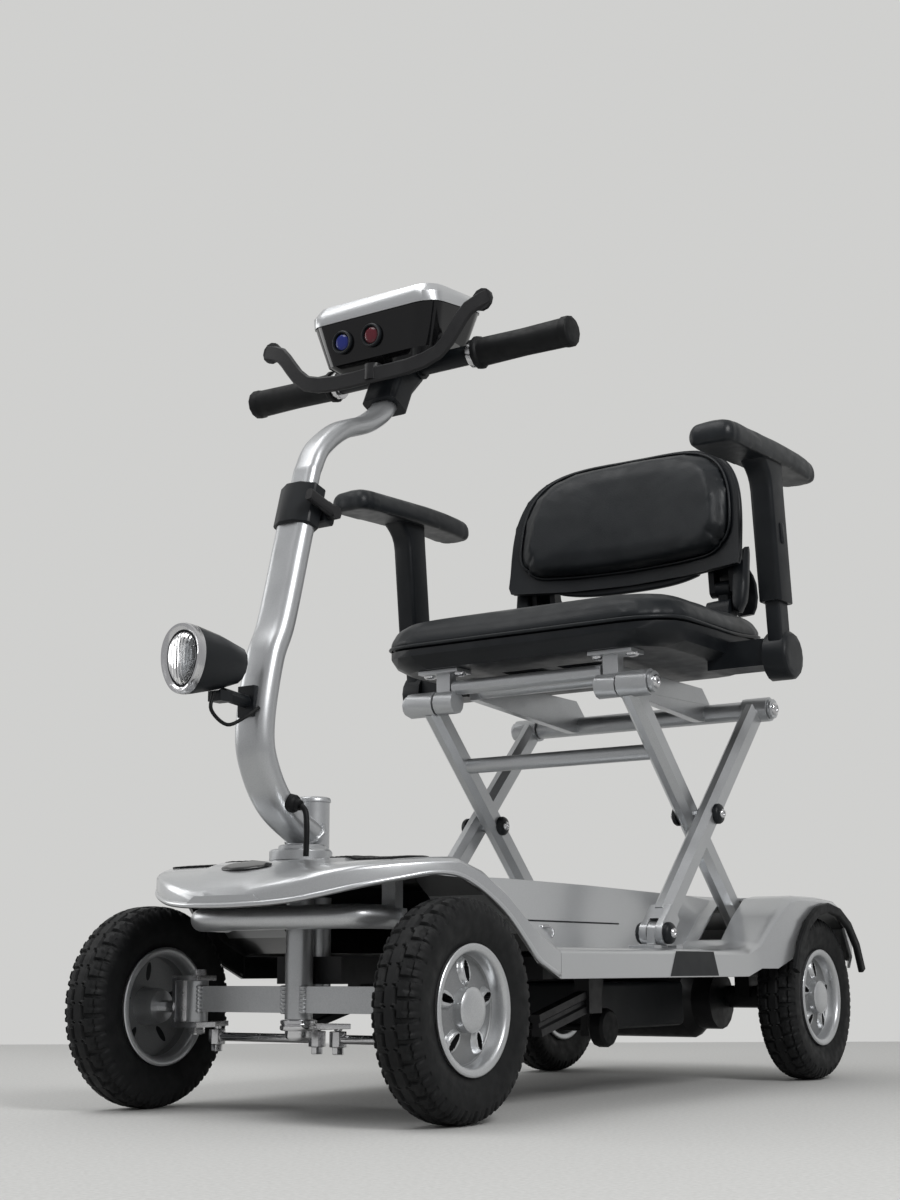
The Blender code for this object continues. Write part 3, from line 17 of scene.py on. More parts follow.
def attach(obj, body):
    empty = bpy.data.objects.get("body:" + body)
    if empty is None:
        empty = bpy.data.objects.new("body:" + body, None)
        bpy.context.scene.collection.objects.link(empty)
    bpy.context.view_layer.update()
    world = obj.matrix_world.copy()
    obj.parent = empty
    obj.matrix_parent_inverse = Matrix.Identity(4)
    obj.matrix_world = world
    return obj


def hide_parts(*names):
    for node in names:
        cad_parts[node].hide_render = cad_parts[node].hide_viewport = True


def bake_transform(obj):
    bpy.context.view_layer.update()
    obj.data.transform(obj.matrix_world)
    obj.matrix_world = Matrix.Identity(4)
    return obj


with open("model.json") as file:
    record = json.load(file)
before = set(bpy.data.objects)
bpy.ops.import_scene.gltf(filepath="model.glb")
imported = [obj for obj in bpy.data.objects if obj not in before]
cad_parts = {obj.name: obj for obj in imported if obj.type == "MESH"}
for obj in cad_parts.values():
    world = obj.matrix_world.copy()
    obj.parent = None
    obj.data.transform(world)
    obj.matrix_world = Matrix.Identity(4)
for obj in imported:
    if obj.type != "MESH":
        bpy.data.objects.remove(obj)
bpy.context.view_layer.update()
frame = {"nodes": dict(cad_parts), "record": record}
scene = bpy.context.scene
scene.view_settings.view_transform = "Standard"

# %% [markdown]
# Places on the scooter are easiest to read from the front axle: y grows towards the rear.
# The frame's origin is under the middle of the scooter, so one helper moves a point across.

# %% Measure from the front axle
FRONT_AXLE_Y = -0.3605


def at(x, y, z):
    return Vector((x, y + FRONT_AXLE_Y, z))


SIDES = (("l", 1), ("r", -1))
print("front axle at", tuple(round(v, 4) for v in at(0, 0, 0.1)))

# %% [markdown]
# The photograph was taken from low down, in front of the rider's left wheel, looking up a little.
# The four wheels and pairs of matching left and right points gave the camera's place, so it is set
# straight from those numbers and nothing has to be turned by eye.

# %% Camera
CAMERA_TURN = 34.4532
CAMERA_RISE = -11.8831
CAMERA_ROLL = 0.1933
FOCAL_PIXELS = 1754.29
FRAME_PIXELS = 1200

turn, rise = math.radians(CAMERA_TURN), math.radians(CAMERA_RISE)
backwards = Vector((math.sin(turn) * math.cos(rise), -math.cos(turn) * math.cos(rise), math.sin(rise)))
eye = bpy.data.cameras.new("eye")
eye.sensor_width = 36.0
eye.lens = FOCAL_PIXELS * eye.sensor_width / FRAME_PIXELS
camera = bpy.data.objects.new("camera", eye)
camera.location = at(1.1014, -1.3357, 0.1357)
camera.rotation_mode = "QUATERNION"
level = backwards.to_track_quat("Z", "Y")
camera.rotation_quaternion = level @ Quaternion((0, 0, 1), math.radians(-CAMERA_ROLL))
scene.collection.objects.link(camera)
scene.camera = camera
print(f"camera at {tuple(round(v, 3) for v in camera.location)}, lens {eye.lens:.1f} mm")

# %% [markdown]
# Soft room light: the world is the pale wall ahead of the camera and a dimmer room behind it, which
# is what gives silver tubes their dark and light bands. A panel high on the camera's right draws the
# long highlight down each tube, and two weaker ones fill the rest. The floor ends where the wall
# began in the photograph.

# %% Light and floor
WALL_GREY = (0.63, 0.63, 0.62)
FLOOR_HALF = 1.37
ROOM_GREY = (0.40, 0.40, 0.405)

world = bpy.data.worlds.new("room")
world.use_nodes = True
room = world.node_tree
look = room.nodes.new("ShaderNodeTexCoord")
ahead = room.nodes.new("ShaderNodeVectorMath")
ahead.operation = "DOT_PRODUCT"
ahead.inputs[1].default_value = (-backwards.x, -backwards.y, 0.35)
shades = room.nodes.new("ShaderNodeValToRGB")
shades.color_ramp.interpolation = "EASE"
shades.color_ramp.elements[0].position = 0.05
shades.color_ramp.elements[0].color = (*ROOM_GREY, 1)
shades.color_ramp.elements[1].position = 0.62
shades.color_ramp.elements[1].color = (*WALL_GREY, 1)
room.links.new(look.outputs["Generated"], ahead.inputs[0])
room.links.new(ahead.outputs["Value"], shades.inputs["Fac"])
room.links.new(shades.outputs["Color"], room.nodes["Background"].inputs["Color"])
scene.world = world


def panel_light(name, place, power, size):
    """A square lamp that faces the middle of the scooter."""
    data = bpy.data.lights.new(name, "AREA")
    data.energy = power
    data.size = size
    lamp = bpy.data.objects.new(name, data)
    lamp.location = place
    lamp.rotation_euler = (Vector((0, 0, 0.4)) - lamp.location).to_track_quat("-Z", "Y").to_euler()
    scene.collection.objects.link(lamp)
    return lamp


panel_light("window", Vector((2.3, -1.1, 2.0)), 46, 0.9)
panel_light("ceiling", Vector((-0.6, -1.0, 2.9)), 32, 1.8)
panel_light("left_wall", Vector((-2.4, -1.0, 1.2)), 12, 1.2)

# %% [markdown]
# A finish is more than one colour: paint has flakes, plastic has a moulded grain, rubber is dusty.
# Each finish below starts as one Principled shader with its plain numbers on the sockets. Small
# helpers then let a noise pattern move its colour, its gloss or its surface by a little. The
# patterns are measured in metres, so a grain of 1 mm is 1 mm on every piece.

# %% Finish helpers
FINISH = {}


def new_finish(slot, colour, roughness, metallic=0.0, sheen=0.5):
    made = bpy.data.materials.new(slot)
    made.use_nodes = True
    shader = made.node_tree.nodes["Principled BSDF"]
    shader.inputs["Base Color"].default_value = (*colour, 1)
    shader.inputs["Roughness"].default_value = roughness
    shader.inputs["Metallic"].default_value = metallic
    shader.inputs["Specular IOR Level"].default_value = sheen
    FINISH[slot] = made
    return made.node_tree, shader


def noise(tree, size, detail=3.0):
    """A cloud pattern whose lumps are about `size` metres across."""
    where = tree.nodes.new("ShaderNodeTexCoord")
    texture = tree.nodes.new("ShaderNodeTexNoise")
    texture.inputs["Scale"].default_value = 1 / size
    texture.inputs["Detail"].default_value = detail
    tree.links.new(where.outputs["Object"], texture.inputs["Vector"])
    return texture.outputs["Fac"]


def cells(tree, size, feature="F1"):
    """A pattern of cells about `size` metres across, as in grained leather."""
    where = tree.nodes.new("ShaderNodeTexCoord")
    texture = tree.nodes.new("ShaderNodeTexVoronoi")
    texture.feature = feature
    texture.inputs["Scale"].default_value = 1 / size
    tree.links.new(where.outputs["Object"], texture.inputs["Vector"])
    return texture.outputs["Distance"]


def vary_colour(tree, shader, pattern, dark, light):
    ramp = tree.nodes.new("ShaderNodeValToRGB")
    ramp.color_ramp.elements[0].position = 0.3
    ramp.color_ramp.elements[1].position = 0.7
    ramp.color_ramp.elements[0].color = (*dark, 1)
    ramp.color_ramp.elements[1].color = (*light, 1)
    tree.links.new(pattern, ramp.inputs["Fac"])
    tree.links.new(ramp.outputs["Color"], shader.inputs["Base Color"])
    return ramp


def vary_gloss(tree, shader, pattern, low, high):
    spread = tree.nodes.new("ShaderNodeMapRange")
    spread.inputs["From Min"].default_value = 0.3
    spread.inputs["From Max"].default_value = 0.7
    spread.inputs["To Min"].default_value = low
    spread.inputs["To Max"].default_value = high
    tree.links.new(pattern, spread.inputs["Value"])
    tree.links.new(spread.outputs["Result"], shader.inputs["Roughness"])


def raise_surface(tree, shader, pattern, depth, strength=1.0):
    bump = tree.nodes.new("ShaderNodeBump")
    bump.inputs["Strength"].default_value = strength
    bump.inputs["Distance"].default_value = depth
    tree.links.new(pattern, bump.inputs["Height"])
    tree.links.new(bump.outputs["Normal"], shader.inputs["Normal"])


print("finish helpers ready")

# %% [markdown]
# The tubes and the big covers carry the same silver, sprayed with fine metal flakes. On tubes the
# paint is satin. The covers are moulded plastic under clear lacquer, so they get a coat. Their
# undersides, and the walls that face in towards the middle, are painted near black as shade: the
# shader asks which way a face points for that.

# %% Silver finishes
SILVER_DARK = (0.41, 0.42, 0.43)
SILVER_LIGHT = (0.52, 0.53, 0.54)

tree, shader = new_finish("silver_paint", SILVER_LIGHT, 0.34, 0.78)
vary_colour(tree, shader, noise(tree, 0.0006, 2), SILVER_DARK, SILVER_LIGHT)
vary_gloss(tree, shader, noise(tree, 0.03), 0.29, 0.39)
raise_surface(tree, shader, noise(tree, 0.004), 0.00004)

tree, shader = new_finish("silver_cover", SILVER_LIGHT, 0.3, 0.72)
shader.inputs["Coat Weight"].default_value = 0.5
shader.inputs["Coat Roughness"].default_value = 0.12
flakes = vary_colour(tree, shader, noise(tree, 0.0005, 2), (0.44, 0.45, 0.46), (0.55, 0.56, 0.57))
# Painted shade: faces that point down, or in towards the middle, are mixed to near black.
facing = tree.nodes.new("ShaderNodeNewGeometry")
normal = tree.nodes.new("ShaderNodeSeparateXYZ")
place = tree.nodes.new("ShaderNodeSeparateXYZ")
spot = tree.nodes.new("ShaderNodeTexCoord")
inward = tree.nodes.new("ShaderNodeMath")
inward.operation = "MULTIPLY"
inner = tree.nodes.new("ShaderNodeMapRange")
inner.inputs["From Min"].default_value = -0.015
inner.inputs["From Max"].default_value = -0.030
under = tree.nodes.new("ShaderNodeMapRange")
under.inputs["From Min"].default_value = -0.72
under.inputs["From Max"].default_value = -0.86
painted_shade_mask = tree.nodes.new("ShaderNodeMath")
painted_shade_mask.operation = "MAXIMUM"
shade_mix = tree.nodes.new("ShaderNodeMix")
shade_mix.data_type = "RGBA"
shade_mix.inputs["B"].default_value = (0.010, 0.010, 0.011, 1)
tree.links.new(facing.outputs["True Normal"], normal.inputs["Vector"])
tree.links.new(spot.outputs["Object"], place.inputs["Vector"])
tree.links.new(normal.outputs["X"], inward.inputs[0])
tree.links.new(place.outputs["X"], inward.inputs[1])
tree.links.new(inward.outputs["Value"], inner.inputs["Value"])
tree.links.new(normal.outputs["Z"], under.inputs["Value"])
tree.links.new(inner.outputs["Result"], painted_shade_mask.inputs[0])
tree.links.new(under.outputs["Result"], painted_shade_mask.inputs[1])
tree.links.new(painted_shade_mask.outputs["Value"], shade_mix.inputs["Factor"])
tree.links.new(flakes.outputs["Color"], shade_mix.inputs["A"])
tree.links.new(shade_mix.outputs["Result"], shader.inputs["Base Color"])

tree, shader = new_finish("alloy", (0.55, 0.56, 0.57), 0.33, 0.85)
vary_colour(tree, shader, noise(tree, 0.0008, 2), (0.48, 0.49, 0.50), (0.60, 0.61, 0.62))
vary_gloss(tree, shader, noise(tree, 0.02), 0.28, 0.40)
raise_surface(tree, shader, noise(tree, 0.003), 0.00005)

# A darker alloy for the dished disc between the loops: painted shade of the dish.
tree, shader = new_finish("alloy_painted_shade", (0.26, 0.265, 0.27), 0.5, 0.7)
vary_colour(tree, shader, noise(tree, 0.0008, 2), (0.22, 0.225, 0.23), (0.30, 0.305, 0.31))
raise_surface(tree, shader, noise(tree, 0.0012), 0.00008)
print("silver finishes:", ", ".join(FINISH))

# %% [markdown]
# There are many blacks on this scooter and they are told apart by gloss and grain: powder coat on
# steel, fine-grained moulding on the seat shells and arms, polished plastic on the console face,
# dusty rubber, and soft vinyl with a pebbled skin. The bright plated parts are nearly a mirror.

# %% Black and bright finishes
tree, shader = new_finish("black_steel", (0.011, 0.011, 0.012), 0.42, 0.0, 0.3)
vary_gloss(tree, shader, noise(tree, 0.01), 0.36, 0.52)
raise_surface(tree, shader, noise(tree, 0.0012), 0.00008)

tree, shader = new_finish("black_plastic", (0.0066, 0.0080, 0.0096), 0.42, 0.0, 0.24)
vary_colour(tree, shader, noise(tree, 0.04), (0.0052, 0.0065, 0.0080), (0.0086, 0.0102, 0.0122))
vary_gloss(tree, shader, noise(tree, 0.02), 0.36, 0.46)
raise_surface(tree, shader, cells(tree, 0.0009), 0.00006, 0.6)

tree, shader = new_finish("gloss_black", (0.004, 0.004, 0.0045), 0.09, 0.0, 0.3)
vary_gloss(tree, shader, noise(tree, 0.03), 0.06, 0.14)
shader.inputs["Coat Weight"].default_value = 0.25
shader.inputs["Coat Roughness"].default_value = 0.05

tree, shader = new_finish("rubber", (0.0050, 0.0056, 0.0062), 0.5, 0.0, 0.2)
vary_colour(tree, shader, noise(tree, 0.02), (0.0040, 0.0045, 0.0050), (0.0075, 0.0080, 0.0085))
vary_gloss(tree, shader, noise(tree, 0.008), 0.46, 0.64)
raise_surface(tree, shader, noise(tree, 0.0008), 0.00005)

tree, shader = new_finish("tyre", (0.0055, 0.0060, 0.0066), 0.55, 0.0, 0.22)
vary_colour(tree, shader, noise(tree, 0.015), (0.0038, 0.0042, 0.0047), (0.0088, 0.0092, 0.0096))
vary_gloss(tree, shader, noise(tree, 0.01), 0.5, 0.72)
raise_surface(tree, shader, noise(tree, 0.0015), 0.0001)

tree, shader = new_finish("vinyl", (0.0080, 0.0098, 0.0118), 0.4, 0.0, 0.28)
vary_colour(tree, shader, noise(tree, 0.05), (0.0064, 0.0080, 0.0098), (0.0104, 0.0126, 0.0148))
vary_gloss(tree, shader, noise(tree, 0.015), 0.36, 0.48)
raise_surface(tree, shader, cells(tree, 0.0016, "SMOOTH_F1"), 0.00012, 0.7)

tree, shader = new_finish("bright_steel", (0.66, 0.66, 0.67), 0.2, 1.0)
vary_gloss(tree, shader, noise(tree, 0.01), 0.14, 0.30)
raise_surface(tree, shader, noise(tree, 0.002), 0.00003)

for slot, colour in (("blue_button", (0.003, 0.012, 0.15)), ("red_button", (0.085, 0.003, 0.010))):
    tree, shader = new_finish(slot, colour, 0.16)
    vary_gloss(tree, shader, noise(tree, 0.004), 0.12, 0.22)
    shader.inputs["Coat Weight"].default_value = 0.1

tree, shader = new_finish("lens", (0.93, 0.95, 0.96), 0.04)
shader.inputs["Transmission Weight"].default_value = 1.0
shader.inputs["IOR"].default_value = 1.49
ribs = tree.nodes.new("ShaderNodeTexWave")
ribs.inputs["Scale"].default_value = 90
ribs.inputs["Distortion"].default_value = 0.4
rib_place = tree.nodes.new("ShaderNodeTexCoord")
tree.links.new(rib_place.outputs["Object"], ribs.inputs["Vector"])
raise_surface(tree, shader, ribs.outputs["Fac"], 0.0005, 0.5)
print(len(FINISH), "finishes")

# %% [markdown]
# The floor is a plain pale sheet that ends where the wall began, turned square to the camera. It
# isn't part of the scooter, so it is put on no body.

# %% Floor
floor_mesh = bpy.data.meshes.new("floor")
corners = [(-1, -1), (1, -1), (1, 1), (-1, 1)]
turned = Matrix.Rotation(turn, 3, "Z")
floor_points = [turned @ Vector((a * FLOOR_HALF, b * FLOOR_HALF, 0)) for a, b in corners]
floor_mesh.from_pydata([tuple(p) for p in floor_points], [], [(0, 1, 2, 3)])
floor = bpy.data.objects.new("floor", floor_mesh)
scene.collection.objects.link(floor)
tree, shader = new_finish("floor_sheet", (0.50, 0.50, 0.49), 0.8)
vary_colour(tree, shader, noise(tree, 0.004), (0.46, 0.46, 0.45), (0.54, 0.54, 0.53))
floor_mesh.materials.append(FINISH["floor_sheet"])
print(f"floor {2 * FLOOR_HALF:.2f} m square")

# %% [markdown]
# Most rigid solids already have the right shape. What they lack is the small round on each edge
# that catches light, and smooth shading round the tubes. Modifiers leave a solid's own mesh as it is,
# so three of them do that: Weld joins the corners, Bevel rounds sharp edges, and
# Weighted Normal keeps the large faces flat.

# %% Dress the solids
def dress(node, slot, edge):
    solid = frame["nodes"][node]
    if "custom_normal" in solid.data.attributes:
        solid.data.attributes.remove(solid.data.attributes["custom_normal"])
    solid.data.shade_smooth()
    solid.data.materials.clear()
    solid.data.materials.append(FINISH[slot])
    weld = solid.modifiers.new("weld", "WELD")
    weld.merge_threshold = 0.00001
    rounds = solid.modifiers.new("rounds", "BEVEL")
    rounds.width = edge
    rounds.segments = 2
    rounds.limit_method = "ANGLE"
    rounds.angle_limit = math.radians(38)
    steady = solid.modifiers.new("steady", "WEIGHTED_NORMAL")
    steady.keep_sharp = True


for entry in frame["record"]["subparts"]:
    dress(entry["node"], entry["material_slot"], 0.0006)

# %% [markdown]
# New pieces are meshes made from points and faces. Three shapes turn up again and again: a profile
# turned round an axis, such as a bolt head or a cap, a tube along a path, such as a cable, a welt or
# a weld, and a skin over a row of outlines, such as a pole. Each is written once here.

# %% Shape helpers
def piece(name, points, faces, slot, body, crease=None):
    mesh = bpy.data.meshes.new(name)
    mesh.from_pydata([tuple(p) for p in points], [], faces)
    mesh.shade_smooth()
    if crease:
        mesh.set_sharp_from_angle(angle=math.radians(crease))
    mesh.materials.append(FINISH[slot])
    made = bpy.data.objects.new(name, mesh)
    scene.collection.objects.link(made)
    if body:
        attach(made, body)
    return made


def ring_faces(rings, steps, caps=True):
    """Quads between rings of `steps` points each, with a cap on both ends."""
    faces = []
    for r in range(rings - 1):
        for k in range(steps):
            n = (k + 1) % steps
            faces.append((r * steps + k, r * steps + n, (r + 1) * steps + n, (r + 1) * steps + k))
    if caps:
        faces.append(tuple(reversed(range(steps))))
        faces.append(tuple(range((rings - 1) * steps, rings * steps)))
    return faces


def joined_faces(rings, steps):
    """The same quads with the last ring joined to the first, and no cap."""
    last = (rings - 1) * steps
    join = [(last + k, last + (k + 1) % steps, (k + 1) % steps, k) for k in range(steps)]
    return ring_faces(rings, steps, False) + join


def span(name, outlines, slot, body, crease=50):
    """A closed skin over outlines of equal length, joined one to the next."""
    points = [p for outline in outlines for p in outline]
    return piece(name, points, ring_faces(len(outlines), len(outlines[0])), slot, body, crease)


def lathe(name, profile, centre, axis, slot, body, steps=32, crease=40):
    """A profile of (along, radius) pairs, turned round an axis through centre."""
    along = Vector(axis).normalized()
    across = along.orthogonal().normalized()
    up = along.cross(across)
    points = []
    for a, r in profile:
        for k in range(steps):
            t = 2 * math.pi * k / steps
            points.append(Vector(centre) + along * a + (across * math.cos(t) + up * math.sin(t)) * r)
    return piece(name, points, ring_faces(len(profile), steps), slot, body, crease)


def tube(name, path, radius, slot, body, steps=10, closed=False):
    """A round tube along a path; radius is one number, or a function of the place along it."""
    path = [Vector(p) for p in path]
    count = len(path)
    points = []
    across = None
    for k, p in enumerate(path):
        after = path[(k + 1) % count] if closed or k < count - 1 else p
        before = path[k - 1] if closed or k > 0 else p
        along = (after - before).normalized()
        across = along.orthogonal() if across is None else across - along * across.dot(along)
        across.normalize()
        up = along.cross(across)
        r = radius(k) if callable(radius) else radius
        for j in range(steps):
            t = 2 * math.pi * j / steps
            points.append(p + (across * math.cos(t) + up * math.sin(t)) * r)
    faces = joined_faces(count, steps) if closed else ring_faces(count, steps)
    return piece(name, points, faces, slot, body)


def smooth_path(points, per):
    """A soft curve through the points, with `per` steps between each two."""
    points = [Vector(p) for p in points]
    ends = [points[0] * 2 - points[1]] + points + [points[-1] * 2 - points[-2]]
    path = []
    for k in range(1, len(ends) - 2):
        a, b, c, d = ends[k - 1:k + 3]
        for j in range(per):
            t = j / per
            bend = (c - a) * t + (a * 2 - b * 5 + c * 4 - d) * t**2 + (b * 3 - a - c * 3 + d) * t**3
            path.append(b + bend * 0.5)
    return path + [points[-1]]


print("shape helpers ready")

# %% [markdown]
# The tyres are solid rubber with a block tread: a centre rib between two wavy grooves, and rows of
# blocks that run over the shoulder onto the side wall. Modelling each block by hand would take
# long. Instead the tyre is one fine sheet wrapped round the wheel, and a rule for each point says
# whether it lies in a groove. The top of the tread stays at the real radius.

# %% Tyres
WHEEL_R = 0.100
HALF_TRACK = 0.1877
WHEELBASE = 0.7826
TREAD_BLOCKS = 34
GROOVE = 0.0030
TYRE_SECTION = (
    (0.0195, 0.0582), (0.0226, 0.0660), (0.0246, 0.0740), (0.0250, 0.0800), (0.0248, 0.0855),
    (0.0238, 0.0905), (0.0218, 0.0948), (0.0188, 0.0976), (0.0130, 0.0993), (0.0070, 0.0999), (0.0, 0.1),
)


def tyre_rows(count=27):
    """Points (across, radius) from one bead over the crown to the other, evenly spaced."""
    half = np.array(TYRE_SECTION)
    line = np.vstack([half, half[-2::-1] * [-1, 1]])
    run = np.concatenate([[0], np.cumsum(np.linalg.norm(np.diff(line, axis=0), axis=1))])
    spots = np.linspace(0, run[-1], 2 * count + 1)
    return np.stack([np.interp(spots, run, line[:, 0]), np.interp(spots, run, line[:, 1])], 1)


def tread_dip(across, radius, turn):
    """How deep the groove is at each point of the tread, from 0 to 1."""
    phase = turn * TREAD_BLOCKS / (2 * math.pi)
    wave = 0.0066 + 0.0011 * np.sin(2 * math.pi * phase)
    rib = np.abs(np.abs(across) - wave) < 0.0011
    shift = np.where(across > 0, 0.0, 0.5)
    slot = ((phase + shift) % 1.0 < 0.24) & (np.abs(across) > 0.0085)
    sipe = ((phase + shift + 0.5) % 1.0 < 0.10) & (np.abs(across) > 0.0150)
    outer = np.abs(np.abs(across) - 0.0178) < 0.0008
    on_tread = radius > 0.0885
    return np.where(on_tread & (rib | slot | outer), 1.0, np.where(on_tread & sipe, 0.5, 0.0))


def make_tyre(node, centre, body, steps=TREAD_BLOCKS * 12):
    rows = tyre_rows()
    turns = np.linspace(0, 2 * math.pi, steps, endpoint=False)
    across, angle = np.meshgrid(rows[:, 0], turns, indexing="ij")
    radius = np.repeat(rows[:, 1:2], steps, 1)
    radius = radius - GROOVE * tread_dip(across, radius, angle)
    grid = np.stack([centre.x + across, centre.y + radius * np.sin(angle),
                     centre.z + radius * np.cos(angle)], -1)
    made = piece(f"{node}_tread", grid.reshape(-1, 3), joined_faces(len(rows), steps), "tyre", body, 32)
    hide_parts(node)
    return made


for end, y in (("front", 0.0), ("rear", WHEELBASE)):
    for tag, side in SIDES:
        rolled = make_tyre(f"{end}_tyre_{tag}", at(side * HALF_TRACK, y, WHEEL_R), f"{end}_wheel_{tag}")
print("four tyres of", len(rolled.data.polygons), "faces")

# %% [markdown]
# Each wheel is one silver casting: a wide flange, a dished disc, five raised loops round a slot, and
# a hub under a plain domed cap. A rule over the disc gives the loops, as the tread rule did for the
# blocks: two almond outlines on each spoke say whether a point is in the slot, on its raised loop, or
# out on the disc. The faces of each zone take their own finish: bright alloy on the cap, the loops and
# the flange, a darker alloy on the disc as painted shade, and black in the slot, whose recess stops at
# a thin floor, as painted shade where the real slot goes through.

# %% Cast wheels
SPOKES = 5
LOOP_MIDDLE = 0.0345
LOOP_HALF = (0.0086, 0.0130)
SLOT_HALF = (0.0032, 0.0092)
LOOP_RISE = 0.0044
CAP_R = 0.020
FACE_ROWS = [0.0008, 0.006, 0.012, 0.0165, 0.0185, 0.0196, 0.0200, 0.0202, 0.0212]
FACE_ROWS += [0.0222 + 0.00095 * k for k in range(28)]


def face_height(radius):
    """The outer face's place along the axle: domed cap, then the dished disc."""
    if radius <= CAP_R:
        return 0.0240 - 0.0030 * (radius / CAP_R) ** 6
    return 0.0125 - 0.0055 * (radius - CAP_R) / 0.030


def back_height(radius):
    """The inner face's place along the axle."""
    return 0.0040 - 0.0035 * min(1.0, max(0.0, (radius - CAP_R) / 0.030))


def almond(radius, turn, half):
    """Less than 1 inside the nearest spoke's almond outline, and 1 on it."""
    nearest = (turn + math.pi / SPOKES) % (2 * math.pi / SPOKES) - math.pi / SPOKES
    across, along = radius * math.sin(nearest), radius * math.cos(nearest) - LOOP_MIDDLE
    return (abs(across) / half[0]) ** 1.5 + (abs(along) / half[1]) ** 2.2


def loop_height(radius, turn):
    """Raised loops, and the slot inside each of them, down to a thin floor."""
    if radius < CAP_R + 0.0005 or almond(radius, turn, LOOP_HALF) > 1:
        return 0.0
    if almond(radius, turn, SLOT_HALF) < 1:
        return back_height(radius) + 0.0008 - face_height(radius)
    return LOOP_RISE * min(1.0, (1 - almond(radius, turn, LOOP_HALF)) / 0.4) ** 0.7


def make_wheel(node, centre, side, body, steps=240):
    rows = [(r, face_height(r), 1.0) for r in FACE_ROWS]
    flange = [(0.0492, 0.0088), (0.0498, 0.0150), (0.0506, 0.0200), (0.0516, 0.0222), (0.0532, 0.0232),
              (0.0562, 0.0238), (0.0578, 0.0236), (0.0586, 0.0226), (0.0574, 0.0198)]
    rows += [(r, a, 0.0) for r, a in flange]
    rows += [(r, -a, 0.0) for r, a in reversed(flange)]
    rows += [(r, back_height(r), 0.0) for r in (0.0490, 0.0420, 0.0300, 0.0190)]
    rows += [(0.0175, -0.0120, 0.0), (0.0160, -0.0178, 0.0), (0.0068, -0.0178, 0.0)]
    points = []
    rises = []
    for r, a, formed in rows:
        for k in range(steps):
            t = 2 * math.pi * k / steps
            rises.append(loop_height(r, t) if formed else 0.0)
            points.append((centre.x + side * (a + rises[-1]), centre.y + r * math.sin(t),
                           centre.z + r * math.cos(t)))
    faces = ring_faces(len(rows), steps)
    if side > 0:
        faces = [tuple(reversed(f)) for f in faces]
    made = piece(f"{node}_cast", points, faces, "alloy", body, 45)
    made.data.materials.append(FINISH["alloy_painted_shade"])
    made.data.materials.append(FINISH["black_steel"])
    # Slot faces are black, painted shade where the real slot goes through; disc faces take the darker alloy,
    # painted shade of the dish.
    for face in made.data.polygons:
        radius = math.hypot(face.center.y - centre.y, face.center.z - centre.z)
        heights = [rises[k] for k in face.vertices]
        if min(heights) < -0.001:
            face.material_index = 2
        elif max(heights) < 0.0008 and CAP_R + 0.0004 < radius < 0.0494:
            face.material_index = 1
    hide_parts(node)
    return made


def slot_shade_sheet(name, centre, side, turn, body):
    """A black almond sheet on the inner face, painted shade where the real slot comes through."""
    out = Vector((0, math.sin(turn), math.cos(turn)))
    across = Vector((0, out.z, -out.y))
    outline = []
    for k in range(24):
        t = 2 * math.pi * k / 24
        radius = LOOP_MIDDLE + SLOT_HALF[1] * math.sin(t)
        lift = Vector((side * (back_height(radius) - 0.0003), 0, 0))
        outline.append(centre + out * radius + across * SLOT_HALF[0] * math.cos(t) + lift)
    thick = Vector((side * 0.0004, 0, 0))
    points = outline + [p + thick for p in outline]
    return piece(name, points, ring_faces(2, len(outline)), "black_plastic", body, 30)


for end, y in (("front", 0.0), ("rear", WHEELBASE)):
    for tag, side in SIDES:
        centre = at(side * HALF_TRACK, y, WHEEL_R)
        body = f"{end}_wheel_{tag}"
        cast = make_wheel(f"{end}_rim_{tag}", centre, side, body)
        for k in range(SPOKES):
            slot_shade_sheet(f"{end}_slot_{tag}_{k}", centre, side, 2 * math.pi * k / SPOKES, body)
print("four wheels of", len(cast.data.polygons), "faces")

# %% [markdown]
# The tiller is made of two flat-sided oval tubes, the upper one sliding in the lower. Their bends are
# soft, so both are drawn again along the same path in many short steps. The lower tube is hollow
# where the upper one slides. A weld joins it to the capped sleeve that stands on the deck ring, and a
# black grommet lets the cable in.

# %% Tiller poles
POLE_AXIS = Vector((0.0, 0.263, 0.965)).normalized()
POLE_TOP = at(0.0, 0.0045, 0.610)
LOWER_OVAL, UPPER_OVAL, BORE_OVAL = (0.042, 0.025), (0.031, 0.0195), (0.0322, 0.0207)
SLEEVE_FOOT = 0.2508


def oval_ring(place, along, size, steps=12):
    """A flat-sided oval across a pole: two half circles joined by straight sides."""
    width, depth = size
    radius = depth / 2
    front = along.cross(Vector((1, 0, 0)))
    ring = []
    for side, first in ((1, -90), (-1, 90)):
        for k in range(steps + 1):
            t = math.radians(first + 180 * k / steps)
            across = side * (width / 2 - radius) + radius * math.cos(t)
            ring.append(place + Vector((across, 0, 0)) + front * radius * math.sin(t))
    return ring


def oval_rings(path, size):
    rings = []
    for k, place in enumerate(path):
        along = path[min(k + 1, len(path) - 1)] - path[max(k - 1, 0)]
        rings.append(oval_ring(place, along.normalized(), size))
    return rings


def pole(name, rings, body, node):
    made = span(name, rings, "silver_paint", body)
    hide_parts(node)
    return made


bend = [at(0, 0.020, 0.263), at(0, -0.028, 0.290), at(0, -0.055, 0.327), at(0, -0.062, 0.365),
        at(0, -0.050, 0.430)]
straight = [POLE_TOP - POLE_AXIS * d for d in (0.145, 0.060, 0.0)]
outside = oval_rings(smooth_path(bend + straight, 10), LOWER_OVAL)
inside = [oval_ring(POLE_TOP - POLE_AXIS * d, POLE_AXIS, BORE_OVAL) for d in (0.0, 0.129)]
lower_pole = pole("pole_lower", outside + inside, "steering", "tiller_lower")
slide = [POLE_TOP + POLE_AXIS * d for d in (-0.125, -0.050, 0.015)]
swan = [at(0, 0.014, 0.640), at(0, 0.028, 0.664), at(0, 0.063, 0.692), at(0, 0.107, 0.711),
        at(0, 0.139, 0.735), at(0, 0.155, 0.765)]
pole("pole_upper", oval_rings(smooth_path(slide + swan, 10), UPPER_OVAL), "handlebar", "tiller_upper")

